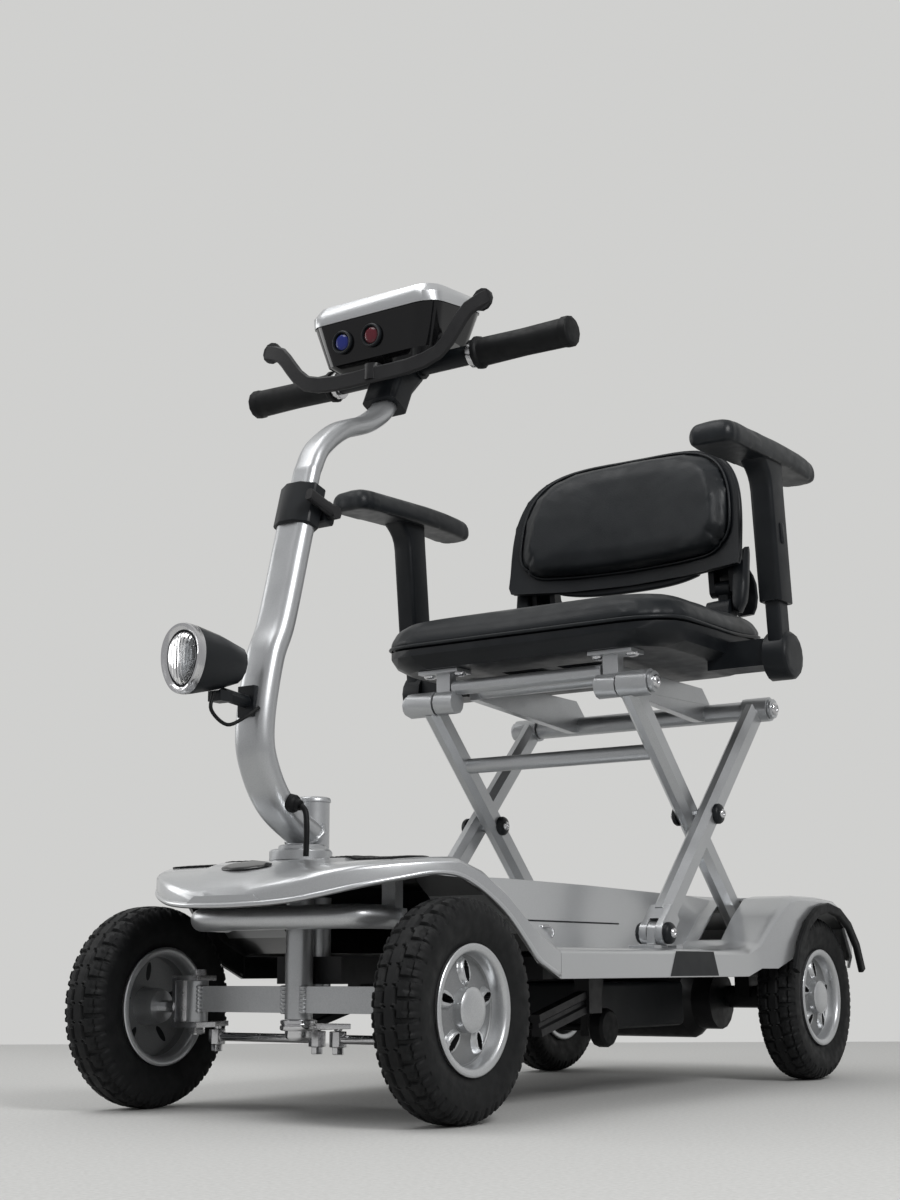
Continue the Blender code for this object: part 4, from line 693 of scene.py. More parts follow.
foot = ((0, 0.0235), (0.0028, 0.0235), (0.0042, 0.0222))
lathe("pole_foot", foot, at(0, 0.012, SLEEVE_FOOT), (0, 0, 1), "silver_paint", "steering", 48)
sleeve = ((0, 0.0165), (0.0470, 0.0165), (0.0472, 0.0177), (0.0496, 0.0177), (0.0514, 0.0168),
          (0.0522, 0.0150))
lathe("pole_sleeve", sleeve, at(0, 0.028, SLEEVE_FOOT), (0, 0, 1), "silver_paint", "steering", 48)
grommet = ((-0.0040, 0.0088), (0.0030, 0.0088), (0.0048, 0.0078), (0.0060, 0.0058), (0.0106, 0.0050))
lathe("pole_grommet", grommet, at(0.021, -0.030, 0.292), (1, 0, -0.25), "rubber", "steering", 28)
print("lower pole of", len(lower_pole.data.polygons), "faces")

# %% [markdown]
# The seat, the backrest and the arm tops are foam under black vinyl. Foam pads bulge between their
# seams, so each pad starts from its solid, gets an even skin of small faces, and is blown up gently
# by a cloth simulation. The side that rests on its shell stays flat, no point may move far, and the
# moves are evened out so that no crumple is left. Before that, the backrest pad is drawn in, so that
# its shell shows as a rim, and the arm pads get square ends and a little more depth.

# %% Blow up the pads
PAD_FRAMES = 18


def even_skin(node, voxel):
    """A copy of the solid with a fine, even skin."""
    solid = frame["nodes"][node]
    start = bpy.data.objects.new(f"{node}_start", solid.data.copy())
    scene.collection.objects.link(start)
    weld = start.modifiers.new("weld", "WELD")
    weld.merge_threshold = 0.00001
    skin = start.modifiers.new("skin", "REMESH")
    skin.mode = "VOXEL"
    skin.voxel_size = voxel
    graph = bpy.context.evaluated_depsgraph_get()
    mesh = bpy.data.meshes.new_from_object(start.evaluated_get(graph))
    bpy.data.objects.remove(start)
    mesh.name = f"{node}_soft"
    return mesh


def inflate(pad, pressure):
    """Runs the cloth and gives back where its points end."""
    cloth = pad.modifiers.new("air", "CLOTH")
    cloth.settings.use_pressure = True
    cloth.settings.uniform_pressure_force = pressure
    cloth.settings.effector_weights.gravity = 0
    cloth.collision_settings.use_collision = False
    cloth.point_cache.frame_start = 1
    cloth.point_cache.frame_end = PAD_FRAMES
    for k in range(1, PAD_FRAMES + 1):
        scene.frame_set(k)
    graph = bpy.context.evaluated_depsgraph_get()
    mesh = pad.evaluated_get(graph).to_mesh()
    after = np.array([v.co for v in mesh.vertices])
    pad.evaluated_get(graph).to_mesh_clear()
    pad.modifiers.remove(cloth)
    scene.frame_set(1)
    return after


def even_out(mesh, moved, rounds=14):
    """Spreads each point's move over its neighbours."""
    ends = np.array([edge.vertices for edge in mesh.edges])
    near = np.maximum(np.bincount(ends.ravel(), minlength=len(moved)), 1)[:, None]
    for _ in range(rounds):
        total = np.zeros_like(moved)
        np.add.at(total, ends[:, 0], moved[ends[:, 1]])
        np.add.at(total, ends[:, 1], moved[ends[:, 0]])
        moved = 0.5 * moved + 0.5 * total / near
    return moved


def blow_up(node, body, rests, cap, voxel, pressure=4.0, fit=None):
    mesh = even_skin(node, voxel)
    if fit:
        mesh.vertices.foreach_set("co", np.array([fit(v.co) for v in mesh.vertices]).ravel())
        mesh.update()
    pad = bpy.data.objects.new(f"{node}_soft", mesh)
    scene.collection.objects.link(pad)
    before = np.array([v.co for v in mesh.vertices])
    normals = np.array([v.normal for v in mesh.vertices])
    moved = normals * cap * 0.6
    moved = even_out(mesh, inflate(pad, pressure) - before)
    length = np.linalg.norm(moved, axis=1, keepdims=True)
    moved = moved * np.minimum(1.0, cap / np.maximum(length, 1e-9))
    # The points that face the shell stay where they are, with a soft border to those that move.
    free = np.clip((0.2 - normals @ np.array(rests)) / 0.5, 0, 1)[:, None]
    mesh.vertices.foreach_set("co", (before + moved * free).ravel())
    mesh.shade_smooth()
    mesh.materials.clear()
    mesh.materials.append(FINISH["vinyl"])
    fine = pad.modifiers.new("fine", "SUBSURF")
    fine.levels = 1
    fine.render_levels = 1
    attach(pad, body)
    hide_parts(node)
    print(f"{pad.name}: {len(mesh.vertices)} points, moved up to {1000 * np.abs(moved * free).max():.1f} mm")
    return pad


BACK_Y, BACK_Z, BACK_HALF_W, BACK_HALF_H = 0.705, 0.730, 0.174, 0.088
INSET_W, INSET_H, INSET_UP, PAD_CORNER = 0.925, 0.885, 0.008, 0.045


def on_back(a, b, out):
    """A place on the backrest: a across, b up, `out` towards the rider."""
    return at(a, BACK_Y + 0.13 * b - 0.9 * a * a - out, BACK_Z + b)


def soft_corner(a, b):
    """Rounds the lower corners of the backrest pad, where a is across and b is up."""
    q, p = abs(a) - BACK_HALF_W + PAD_CORNER, -b - BACK_HALF_H + PAD_CORNER
    if q > 0 and p > 0:
        pull = max(q, p) / math.hypot(q, p)
        a = math.copysign(BACK_HALF_W - PAD_CORNER + q * pull, a)
        b = PAD_CORNER - BACK_HALF_H - p * pull
    return a, b


def inset(place):
    """Draws the backrest pad in a little, so that its shell shows round it as a rim."""
    a, b = place.x, place.z - BACK_Z
    out = on_back(a, b, 0).y - place.y
    a, b = soft_corner(a, b)
    return on_back(a * INSET_W, b * INSET_H + INSET_UP, out)


ARM_X, ARM_Y, ARM_PAD_Z, ARM_LIFT, ARM_TILT = 0.264, 0.540, 0.728, 0.0075, 0.05
ARM_PAD_X, ARM_PAD_THICK, ARM_PAD_DEEPER, ARM_PAD_TURN = 0.260, 0.020, 0.008, 0.007
ARM_END_A, ARM_END_B, ARM_TURN_FROM, ARM_TURN_RUN = 0.005, 0.108, 0.010, 0.120


def arm_form(place):
    """Squares the ends of an arm pad, gives it more depth and turns its rear end down."""
    middle = at(math.copysign(ARM_PAD_X, place.x), ARM_Y, 0)
    a, b = place.x - middle.x, place.y - middle.y
    w = place.z - ARM_PAD_Z - ARM_LIFT - ARM_TILT * b
    q, p = abs(a) - ARM_END_A, abs(b) - ARM_END_B
    if q > 0 and p > 0:
        square = math.hypot(q, p) / (q ** 4 + p ** 4) ** 0.25
        a = math.copysign(ARM_END_A + q * square, a)
        b = math.copysign(ARM_END_B + p * square, b)
    rear = min(1.0, max(0.0, (b - ARM_TURN_FROM) / ARM_TURN_RUN))
    w -= ARM_PAD_DEEPER * (1 - w / ARM_PAD_THICK) + ARM_PAD_TURN * rear ** 2
    return Vector((middle.x + a, middle.y + b, ARM_PAD_Z + ARM_LIFT + w + ARM_TILT * b))


blow_up("seat_cushion", "seat", (0, 0, -1), 0.0045, 0.005)
blow_up("backrest_pad", "backrest", (0, 1, 0), 0.0035, 0.005, fit=inset)
for tag, side in SIDES:
    blow_up(f"arm_pad_{tag}", f"arm_top_{tag}", (0, 0, -1), 0.0012, 0.003, fit=arm_form)

# %% [markdown]
# A welt runs round the lower edge of the seat cushion, where the vinyl is sewn and pulled under, and
# a thinner one round the backrest pad. Each follows the pad's own outline, so the outlines are
# written here as rules with the same sizes as the solids.

# %% Welts
SEAT_Y, SEAT_HALF_W, SEAT_HALF_D, CUSHION_Z = 0.545, 0.205, 0.150, 0.5265


def rounded(half_a, half_b, radius, steps):
    points = []
    for a, b, first in ((1, 1, 0), (-1, 1, 90), (-1, -1, 180), (1, -1, 270)):
        for k in range(steps + 1):
            t = math.radians(first + 90 * k / steps)
            points.append((a * (half_a - radius) + radius * math.cos(t),
                           b * (half_b - radius) + radius * math.sin(t)))
    return points


def even(points, gap):
    """The closed outline again, with points about `gap` apart."""
    line = np.array(points + points[:1])
    run = np.concatenate([[0], np.cumsum(np.linalg.norm(np.diff(line, axis=0), axis=1))])
    spots = np.linspace(0, run[-1], int(run[-1] / gap), endpoint=False)
    return [(np.interp(s, run, line[:, 0]), np.interp(s, run, line[:, 1])) for s in spots]


def on_seat(a, b, rise):
    back = max(0.0, b / SEAT_HALF_D)
    front = max(0.0, -b / SEAT_HALF_D - 0.55)
    corner = (abs(a) / SEAT_HALF_W) ** 2
    return at(a, SEAT_Y + b, CUSHION_Z + rise + 0.016 * back**2 * corner - 0.020 * front**2)


def back_outline(half_w, half_h):
    points = []
    for k in range(41):
        t = math.pi * k / 40
        c, s = math.cos(t), math.sin(t)
        points.append((half_w * math.copysign(abs(c) ** 0.55, c), half_h * (1.9 * abs(s) ** 0.55 - 0.9)))
    return points + [(-half_w * 0.98, -half_h), (-half_w * 0.5, -half_h * 1.04), (0, -half_h * 1.05),
                     (half_w * 0.5, -half_h * 1.04), (half_w * 0.98, -half_h)]


plan = even(rounded(SEAT_HALF_W + 0.0005, SEAT_HALF_D + 0.0005, 0.060, 8), 0.008)
tube("seat_welt", [on_seat(a, b, 0.0042) for a, b in plan], 0.0022, "vinyl", "seat", 8, True)
shoulder = [soft_corner(a, b) for a, b in even(back_outline(BACK_HALF_W, BACK_HALF_H), 0.0075)]
shoulder = [on_back(0.99 * INSET_W * a, 0.99 * INSET_H * b + INSET_UP, 0.0030) for a, b in shoulder]
tube("back_welt", shoulder, 0.0017, "vinyl", "backrest", 8, True)
rim = even(back_outline(BACK_HALF_W - 0.0024, BACK_HALF_H - 0.0024), 0.007)
tube("back_rim", [on_back(a, b, -0.0045) for a, b in rim], 0.0040, "black_plastic", "backrest", 12, True)
print("seat welt of", len(plan), "steps")

# %% [markdown]
# Each arm's sleeve is open below, where the post slides in, and widens forward in a smooth curve
# until it carries the pad. It takes the solid's place, with a small push button on its outer side.
# Both are lofts: outlines of equal length, joined one to the next.

# %% Arm sleeves
SLEEVE_Y, SLEEVE_LEAN = 0.5551, 0.10
SLEEVE = ((-0.056, 0.0101, 0.0151, 0, 0.0040), (-0.1664, 0.0101, 0.0151, 0, 0.0040),
          (-0.1670, 0.0108, 0.0158, 0, 0.0045), (-0.1670, 0.0136, 0.0194, 0, 0.0055),
          (-0.1660, 0.0144, 0.0202, 0, 0.0060), (-0.0340, 0.0145, 0.0203, 0, 0.0060),
          (-0.0240, 0.0147, 0.0210, 0.0006, 0.0065), (-0.0160, 0.0150, 0.0226, 0.0022, 0.0070),
          (-0.0100, 0.0153, 0.0250, 0.0046, 0.0075), (-0.0050, 0.0156, 0.0278, 0.0074, 0.0080),
          (-0.0010, 0.0160, 0.0305, 0.0101, 0.0085), (0.0090, 0.0160, 0.0310, 0.0106, 0.0085))
ARM_BUTTON = ((0.0134, 0.0042, 0.0125), (0.0158, 0.0042, 0.0125), (0.0166, 0.0035, 0.0117))
ARM_BUTTON_DROP = 0.085


def loft(name, outlines, slot, body):
    """A skin over outlines that may be mirrored, with its faces turned outward."""
    made = span(name, outlines, slot, body)
    work = bmesh.new()
    work.from_mesh(made.data)
    bmesh.ops.recalc_face_normals(work, faces=work.faces)
    work.to_mesh(made.data)
    work.free()
    return made


def sleeve_ring(side, rise, half_x, half_y, forward, corner):
    """A level outline of the sleeve, `rise` above the foot of the pad."""
    y, z = SLEEVE_Y - SLEEVE_LEAN * rise - forward, ARM_PAD_Z + rise
    return [at(side * ARM_X + a, y + b, z) for a, b in rounded(half_x, half_y, corner, 5)]


def button_ring(side, out, half_y, half_z):
    """An upright outline of the button, `out` from the middle of the sleeve."""
    y, z = SLEEVE_Y + SLEEVE_LEAN * ARM_BUTTON_DROP, ARM_PAD_Z - ARM_BUTTON_DROP
    return [at(side * (ARM_X + out), y + a - SLEEVE_LEAN * b, z + b)
            for a, b in rounded(half_y, half_z, 0.002, 4)]


for tag, side in SIDES:
    body = f"arm_top_{tag}"
    rings = [sleeve_ring(side, *row) for row in SLEEVE]
    sleeve = loft(f"arm_sleeve_{tag}_fine", rings, "black_plastic", body)
    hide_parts(f"arm_sleeve_{tag}")
    loft(f"arm_button_{tag}", [button_ring(side, *row) for row in ARM_BUTTON], "black_plastic", body)
print("two arm sleeves of", len(sleeve.data.polygons), "faces, each with a button")

# %% [markdown]
# Behind the seat a curved cheek and a heel come down from the backrest's shell round each hinge, and
# a cover stands on the seat below the hinge, far enough down for the backrest to fold. A lip runs
# along the shell's lower edge. These are lofts too.

# %% Backrest cheeks, heels and lip
CHEEK = ((0.1546, 0.600, 0.655, 0.006), (0.1556, 0.584, 0.660, 0.010), (0.1640, 0.580, 0.664, 0.012),
         (0.1710, 0.592, 0.668, 0.010), (0.1745, 0.612, 0.668, 0.004))
HINGE_COVER = ((0.1162, 0.562, 0.597, 0.010), (0.1172, 0.560, 0.600, 0.0135),
               (0.1350, 0.560, 0.601, 0.0145), (0.1515, 0.560, 0.600, 0.0135),
               (0.1525, 0.562, 0.597, 0.010))
CHEEK_Y, CHEEK_TOP, CHEEK_LEAN, CHEEK_FLAT, CHEEK_CURVE = 0.704, 0.66, 0.13, 0.135, 0.2
HEEL = ((0.664, -0.0006, 0.118, 0.168), (0.650, 0.006, 0.118, 0.171), (0.640, 0.018, 0.119, 0.173),
        (0.632, 0.030, 0.120, 0.174), (0.622, 0.038, 0.122, 0.1745), (0.605, 0.042, 0.127, 0.174),
        (0.592, 0.043, 0.134, 0.171), (0.584, 0.0435, 0.142, 0.166))
HEEL_HALF_T = 0.0035
LIP_HALF_A, LIP_HALF_B, LIP_HALF_T = 0.110, 0.0085, 0.0048
LIP_DROP, LIP_RISE, LIP_BACK, LIP_CORNER = 0.0005, 0.008, 0.008, 0.004
LIP_STEPS, LIP_END = 20, 0.6


def square_off(value):
    """A sine or cosine drawn towards its ends, which turns a circle into a soft square."""
    return math.copysign(abs(value) ** 0.6, value)


def cheek_ring(side, a, low, high, thick):
    """An upright rounded outline at `a` across, between two heights."""
    ring = []
    for k in range(24):
        t = 2 * math.pi * k / 24
        z = (low + high) / 2 + (high - low) / 2 * square_off(math.sin(t))
        lean = min(0.0, CHEEK_LEAN * (z - CHEEK_TOP)) - CHEEK_CURVE * max(0.0, a - CHEEK_FLAT)
        ring.append(at(side * a, CHEEK_Y + lean + thick * square_off(math.cos(t)), z))
    return ring


def heel_ring(side, z, behind, low, high):
    """A level outline behind the hinge, between two places across."""
    ring = []
    for u, v in rounded((high - low) / 2, HEEL_HALF_T, 0.003, 4):
        a = (low + high) / 2 + u
        ring.append(at(side * a, BACK_Y + behind - 0.9 * a * a + v, z))
    return ring


def lip_ring(k):
    """An outline of the lip, with a smaller one at each end."""
    a, size = LIP_HALF_A * k / LIP_STEPS, LIP_END if abs(k) == LIP_STEPS else 1.0
    edge = -BACK_HALF_H * (1.05 - 0.05 * (a / BACK_HALF_W) ** 2) - LIP_DROP
    edge += LIP_RISE * (a / LIP_HALF_A) ** 4
    outline = rounded(LIP_HALF_B * size, LIP_HALF_T * size, LIP_CORNER * size, 4)
    return [on_back(a, edge + b, t - LIP_BACK) for b, t in outline]


for tag, side in SIDES:
    loft(f"back_cheek_{tag}", [cheek_ring(side, *row) for row in CHEEK], "black_plastic", "backrest")
    loft(f"back_heel_{tag}", [heel_ring(side, *row) for row in HEEL], "black_plastic", "backrest")
    loft(f"hinge_cover_{tag}", [cheek_ring(side, *row) for row in HINGE_COVER], "black_plastic", "seat")
lip = loft("back_lip", [lip_ring(k) for k in range(-LIP_STEPS, LIP_STEPS + 1)], "black_plastic", "backrest")
print("backrest cheeks, heels and a lip of", len(lip.data.polygons), "faces")

# %% [markdown]
# The scissor legs turn on pins with a black dome at each end and a bright screw in the middle of the
# dome. The solids carry the domes in silver, so a black dome that is a little larger sits over each.

# %% Pivot caps
CROSS_Y, CROSS_Z = 0.571, 0.3155
FOOT_Y, FOOT_Z = 0.430, 0.174
DOME = ((-0.0004, 0.0121), (0.0030, 0.0121), (0.0052, 0.0108), (0.0066, 0.0078), (0.0070, 0.0058))
SCREW = ((0.0066, 0.0056), (0.0084, 0.0054), (0.0096, 0.0042), (0.0099, 0.0026), (0.0088, 0.0024))


def pivot_cap(name, x, out, y, z, body):
    lathe(f"{name}_dome", DOME, at(x, y, z), (out, 0, 0), "black_plastic", body)
    lathe(f"{name}_screw", SCREW, at(x, y, z), (out, 0, 0), "bright_steel", body, 24)


for tag, side in SIDES:
    pivot_cap(f"cross_out_{tag}", side * 0.1774, side, CROSS_Y, CROSS_Z, "inner_legs")
    pivot_cap(f"cross_in_{tag}", side * 0.1276, -side, CROSS_Y, CROSS_Z, "inner_legs")
    pivot_cap(f"foot_out_{tag}", side * 0.1809, side, FOOT_Y, FOOT_Z, "chassis")
    pivot_cap(f"foot_in_{tag}", side * 0.1511, -side, FOOT_Y, FOOT_Z, "chassis")
print("eight capped pivots")

# %% [markdown]
# Where the legs meet the seat, a screw with a low round head holds each stud. The same head is used
# on the seat frame and on the brackets under the shell.

# %% Screws under the seat
HEAD = ((-0.001, 0.0078), (0.0016, 0.0078), (0.0034, 0.0064), (0.0042, 0.0040), (0.0030, 0.0038),
        (0.0030, 0.0004))
SEAT_PIVOT_Z = 0.457
for tag, side in SIDES:
    screws = [(f"seat_screw_{tag}", (0.1745, 0.430, SEAT_PIVOT_Z), (side, 0, 0), "seat", 24),
              (f"slider_screw_{tag}", (0.1935, 0.712, SEAT_PIVOT_Z), (side, 0, 0), "seat_slider", 24)]
    for k, x in enumerate((0.098, 0.143)):
        screws.append((f"plate_screw_{tag}_{k}", (x, 0.434, 0.4935), (0, 0, -1), "seat", 16))
    for name, (x, y, z), axis, body, steps in screws:
        lathe(name, HEAD, at(side * x, y, z), axis, "bright_steel", body, steps)
print("eight screws under the seat")

# %% [markdown]
# The axle beam is welded to the head tube and to the two kingpin tubes. A weld is a row of
# overlapping drops, so it is a tube whose radius swells and shrinks along its path.

# %% Welds
def weld_seam(name, path, body, radius=0.0040, drops=7):
    steps = drops * 6
    line = smooth_path(path, max(2, steps // (len(path) - 1)))

    def swell(k):
        return radius * (0.62 + 0.38 * abs(math.sin(math.pi * k / 6)))

    tube(name, line, swell, "silver_paint", body, 10)


STEER_Y, BEAM_LOW, BEAM_TOP = 0.010, 0.095, 0.120
seams = 0
for tag, side in SIDES:
    for label, x, y in (("head", 0.0118, STEER_Y - 0.0080), ("king", 0.1210, STEER_Y - 0.0078)):
        heights = (BEAM_LOW - 0.001, (BEAM_LOW + BEAM_TOP) / 2, BEAM_TOP + 0.001)
        weld_seam(f"weld_{label}_{tag}", [at(side * x, y, z) for z in heights], "chassis")
        seams += 1
mouth = oval_ring(at(0, 0.0165, 0.2655), Vector((0, -0.72, 0.69)), (0.0425, 0.0255))


def ripple(k):
    return 0.0024 + 0.0010 * math.sin(2.1 * k)


tube("weld_pole", mouth, ripple, "silver_paint", "steering", 10, True)
print(seams + 1, "weld seams")

# %% [markdown]
# The bumper's loop is polished tube, drawn again with a finer round. Two stacked nuts close the
# steering head below the beam, and the bar is black up to a bright ring beside each grip.

# %% Bumper, nuts and bar
half = [(0.0, -0.036, 0.184), (0.070, -0.034, 0.184), (0.094, -0.026, 0.184), (0.104, -0.006, 0.184),
        (0.104, 0.022, 0.184)]
loop = [at(-x, y, z) for x, y, z in reversed(half[1:])] + [at(*p) for p in half]
tube("bumper_loop", smooth_path(loop, 8), 0.0114, "alloy", "chassis", 28)

nut = ((0, 0.0120), (0.0008, 0.0172), (0.0022, 0.0180), (0.0048, 0.0180), (0.0056, 0.0166),
       (0.0064, 0.0166), (0.0072, 0.0176), (0.0098, 0.0176), (0.0106, 0.0160))
lathe("head_nut", nut, at(0, STEER_Y, 0.0780), (0, 0, 1), "bright_steel", "steering", 48, 30)

BAR_Y, BAR_Z, BAR_R, GRIP_IN = 0.182, 0.794, 0.0105, 0.098
for tag, side in SIDES:
    sheath = ((0.024, BAR_R + 0.0004), (GRIP_IN - 0.0085, BAR_R + 0.0004))
    lathe(f"bar_sheath_{tag}", sheath, at(0, BAR_Y, BAR_Z), (side, 0, 0), "black_plastic", "handlebar", 36)
print("bumper, head nut and bar sheaths")

# %% [markdown]
# The headlight has a bright bezel round a clear lens, and a mirrored bowl behind the lens; its small
# bulb is left off. The bowl and the bezel follow the housing's egg outline, which is wider above the middle.

# %% Headlight
LAMP_FRONT, LAMP_W, LAMP_H, LAMP_Z = -0.166, 0.024, 0.033, 0.416


def egg(y, wide, high, steps=56):
    points = []
    for k in range(steps):
        t = 2 * math.pi * k / steps
        points.append(at(LAMP_W * wide * math.cos(t) * (1 + 0.13 * math.sin(t)), y,
                         LAMP_Z + LAMP_H * high * math.sin(t)))
    return points


def egg_skin(name, rings, slot):
    """A skin over egg outlines, each given by its place behind the lamp's front and its two sizes."""
    outlines = [egg(LAMP_FRONT + back, wide, high) for back, wide, high in rings]
    return span(name, outlines, slot, "steering", 45)


bezel = ((0.0060, 1.010, 1.008), (-0.0005, 1.010, 1.008), (-0.0030, 0.985, 0.985), (-0.0030, 0.90, 0.92),
         (-0.0006, 0.80, 0.84), (0.0008, 0.735, 0.775), (0.0020, 0.735, 0.775))
egg_skin("lamp_bezel", bezel, "bright_steel")
bowl = ((0.0035, 0.70, 0.74), (0.012, 0.62, 0.66), (0.018, 0.42, 0.46), (0.0205, 0.16, 0.16))
egg_skin("lamp_bowl", bowl, "bright_steel")
lens = ((-0.0060, 0.30, 0.34), (-0.0048, 0.50, 0.54), (-0.0026, 0.64, 0.68), (0.0003, 0.715, 0.755),
        (0.0024, 0.70, 0.74), (0.0004, 0.60, 0.64), (-0.0030, 0.30, 0.34))
glass = egg_skin("lamp_glass", lens, "lens")
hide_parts("headlight_lens")
print("headlight of", len(glass.data.polygons), "lens faces")

# %% [markdown]
# Two cords show. A thin lead leaves the back of the lamp, hangs in a small loop and ends in the pole.
# A thicker cable leaves the grommet on the tiller's bend and drops to the deck. The tiller turns
# above the deck, but that cable is put on neither body and stays where it is drawn.

# %% Cords
def path_length(path):
    return sum((b - a).length for a, b in zip(path, path[1:]))


lead = smooth_path([
    at(0.004, LAMP_FRONT + 0.040, LAMP_Z - 0.0263), at(0.005, LAMP_FRONT + 0.036, LAMP_Z - 0.044),
    at(0.008, LAMP_FRONT + 0.055, LAMP_Z - 0.056), at(0.011, LAMP_FRONT + 0.078, LAMP_Z - 0.046),
    at(0.0145, LAMP_FRONT + 0.0925, LAMP_Z - 0.036),
], 6)
lamp_lead = tube("lamp_lead", lead, 0.0018, "rubber", "steering", 10)
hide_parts("headlight_lead")

drop = smooth_path([
    at(0.0405, -0.032, 0.2407), at(0.041, -0.032, 0.268), at(0.0385, -0.031, 0.283),
    at(0.0324, -0.030, 0.2890),
], 6)
column_cable = tube("column_cable", drop, 0.0028, "rubber", None, 12)
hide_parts("tiller_cable")
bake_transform(column_cable)
print(f"lead {1000 * path_length(lead):.0f} mm, cable {1000 * path_length(drop):.0f} mm")

# %% [markdown]
# The console's face holds two round buttons, each down in a black ring. The icons beside them are left
# off. The rings are turned profiles round the same axis that the buttons press along.

# %% Console rings
BUTTONS = (("blue", -0.037), ("red", 0.003))
FACE_OUT = (0, -0.995, -0.0995)
RING = ((-0.0010, 0.0100), (-0.0010, 0.0132), (0.0016, 0.0130), (0.0026, 0.0118), (0.0022, 0.0106),
        (-0.0004, 0.0102))
for colour, x in BUTTONS:
    lathe(f"{colour}_ring", RING, at(x, 0.1148, 0.8145), FACE_OUT, "black_plastic", "handlebar", 40)
print(len(BUTTONS), "button rings")

# %% [markdown]
# The sills carry a black patch on each side in front of the rear wheel, and the central box has a
# long seam with a small latch hook below it. These lie on curved covers, so a ray is shot at the
# cover from outside and the point where it lands gives the height of the face there.

# %% Finding a place on a cover
def skin_of(node):
    mesh = frame["nodes"][node].data
    return BVHTree.FromPolygons([v.co for v in mesh.vertices], [tuple(p.vertices) for p in mesh.polygons])


SKIN = {node: skin_of(node) for node in ("front_cover", "rear_cover")}


def land(node, start, towards, off):
    """Where a ray from start lands on the cover, lifted `off` from it."""
    ray = Vector(towards).normalized()
    place = SKIN[node].ray_cast(start, ray)[0]
    return (place if place else start) - ray * off


def plate(name, corners, thick, out, slot, body):
    """A thin plate with `corners` on a face, standing `thick` off it along out."""
    push = Vector(out).normalized() * thick
    count = len(corners)
    low = [Vector(c) for c in corners]
    points = low + [p + push for p in low]
    return piece(name, points, ring_faces(2, count), slot, body, 30)


print("deck height at the middle", round(land("front_cover", at(0.06, 0.0, 0.4), (0, 0, -1), 0).z, 4))

# %% [markdown]
# The edge of the front cover is rolled over. One tube from sill to sill round the nose gives that
# roll, and a thin strip closes the cover's front below the nose.

# %% Rolled edge of the front cover
EDGE = ((0.0342, -0.1018, 0.1945), (0.0545, -0.0985, 0.1955), (0.0765, -0.0915, 0.1980),
        (0.0985, -0.0795, 0.2028), (0.1235, -0.0595, 0.2098), (0.1474, -0.0295, 0.2172),
        (0.1654, 0.0, 0.2231), (0.1774, 0.025, 0.2212), (0.1874, 0.050, 0.2084), (0.1954, 0.078, 0.1878),
        (0.2004, 0.104, 0.1622), (0.2030, 0.123, 0.1442), (0.2034, 0.158, 0.1300))
roll = [at(-x, y, z) for x, y, z in reversed(EDGE)] + [at(0, -0.1026, 0.1938)] + [at(*p) for p in EDGE]
tube("deck_roll", smooth_path(roll, 6), 0.0028, "silver_cover", "chassis", 12)
STRIP = ((-0.050, 0.1935), (0.050, 0.1935), (0.036, 0.2030), (-0.036, 0.2030))
strip = [at(x, -0.0992, z) for x, z in STRIP]
plate("nose_strip", strip, 0.0034, (0, -1, 0), "silver_cover", "chassis")
print("rolled edge through", len(roll), "points")

# %% [markdown]
# A foot mat is a thin rubber sheet that follows the deck. Its outline is filled with rows of points,
# each row is dropped on the deck, and low ribs run across it.

# %% Foot mats
MAT_ROWS, MAT_COLUMNS = 14, 26
MAT_INNER = ((0.0470, -0.0040), (0.0470, 0.0300))
MAT_OUTER = ((0.1360, -0.0260), (0.1420, 0.0300))


def mat_place(a, b):
    """A point of the right-hand outline: a from inner to outer edge, b from front to back."""
    inner = Vector(MAT_INNER[0]).lerp(Vector(MAT_INNER[1]), b)
    outer = Vector(MAT_OUTER[0]).lerp(Vector(MAT_OUTER[1]), b)
    return inner.lerp(outer, a)


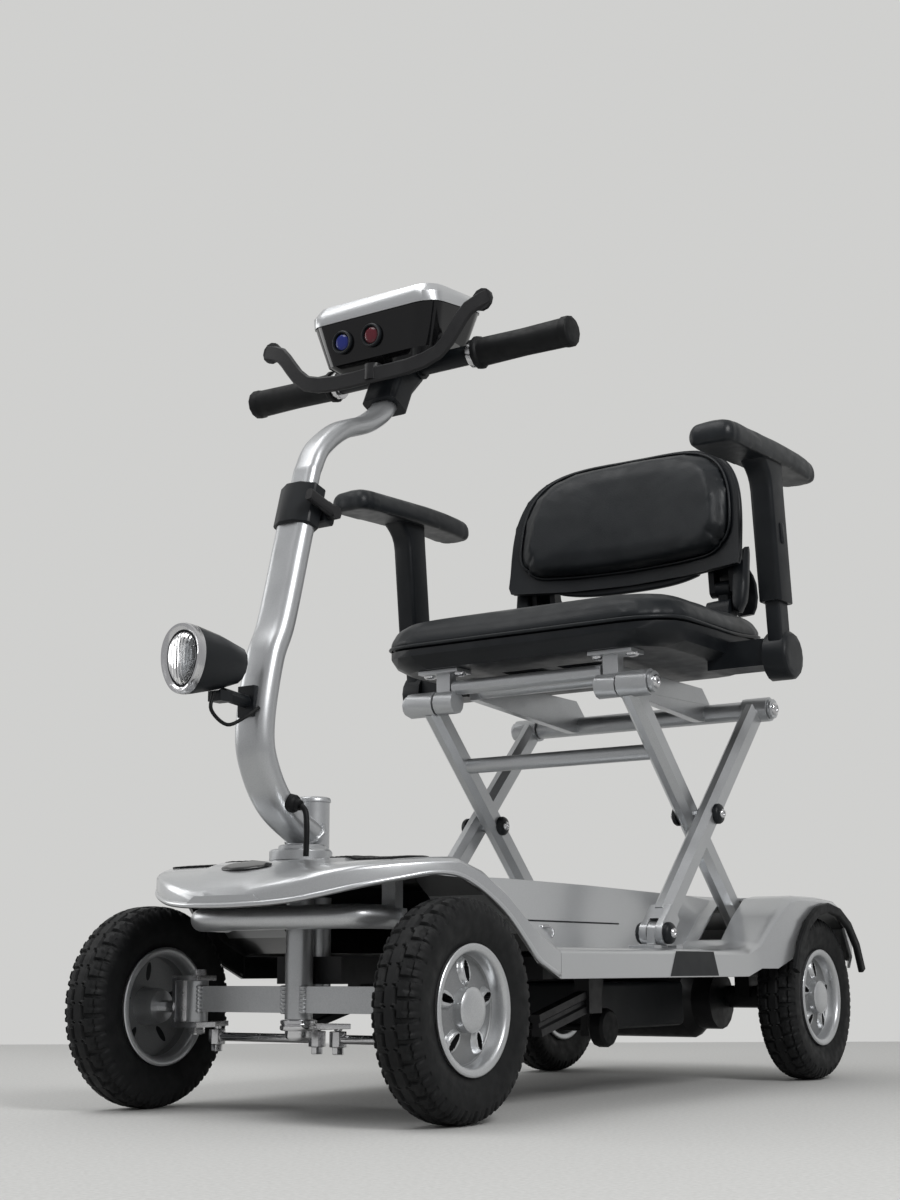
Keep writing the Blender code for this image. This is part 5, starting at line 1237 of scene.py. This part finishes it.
def make_mat(tag, side):
    low, high = [], []
    for i in range(MAT_COLUMNS + 1):
        for j in range(MAT_ROWS + 1):
            x, y = mat_place(i / MAT_COLUMNS, j / MAT_ROWS)
            rest = land("front_cover", at(side * x, y, 0.4), (0, 0, -1), 0.0002)
            low.append(rest)
            high.append(rest + Vector((0, 0, 0.0020 if i % 2 else 0.0016)))
    points = low + high
    row = MAT_ROWS + 1
    top = len(low)
    faces = []
    for i in range(MAT_COLUMNS):
        for j in range(MAT_ROWS):
            a = i * row + j
            faces.append((a, a + row, a + row + 1, a + 1))
            faces.append((top + a, top + a + 1, top + a + row + 1, top + a + row))
    edge = [i * row for i in range(MAT_COLUMNS + 1)] + [MAT_COLUMNS * row + j for j in range(1, row)]
    edge += [i * row + MAT_ROWS for i in range(MAT_COLUMNS - 1, -1, -1)]
    edge += range(MAT_ROWS - 1, 0, -1)
    for a, b in zip(edge, edge[1:] + edge[:1]):
        faces.append((a, top + a, top + b, b))
    made = piece(f"foot_mat_{tag}_sheet", points, faces, "rubber", "chassis", 35)
    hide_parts(f"foot_mat_{tag}")
    return made


for tag, side in SIDES:
    mat = make_mat(tag, side)
print("foot mats of", len(mat.data.polygons), "faces")

# %% [markdown]
# With the faces found, the patch is a thin plate on the sill and the seam is a thin dark line along
# the box, with the latch hook just below.

# %% Sill patches and latches
PATCH = ((0.388, 0.1275), (0.504, 0.1275), (0.492, 0.1540), (0.402, 0.1540))
HOOK = ((0.288, 0.180, 0.0), (0.300, 0.180, 0.0035), (0.306, 0.1745, 0.0035), (0.306, 0.1690, 0.0))


def beside(side, y, z, off):
    """The point on the rear cover's central box at this height, found from its outer side."""
    return land("rear_cover", at(side * 0.150, y, z), (-side, 0, 0), off)


for tag, side in SIDES:
    corners = [at(side * 0.2049, y, z) for y, z in PATCH]
    plate(f"sill_patch_{tag}", corners, 0.0008, (side, 0, 0), "black_plastic", "chassis")
    seam = [beside(side, 0.200 + 0.02 * k, 0.186, 0.0002) for k in range(14)]
    tube(f"box_seam_{tag}", seam, 0.0009, "black_plastic", "chassis", 8)
    hook = [beside(side, *spot) for spot in HOOK]
    tube(f"box_latch_{tag}", smooth_path(hook, 4), 0.0016, "bright_steel", "chassis", 8)
print("sill patches, seams and latches on both sides")
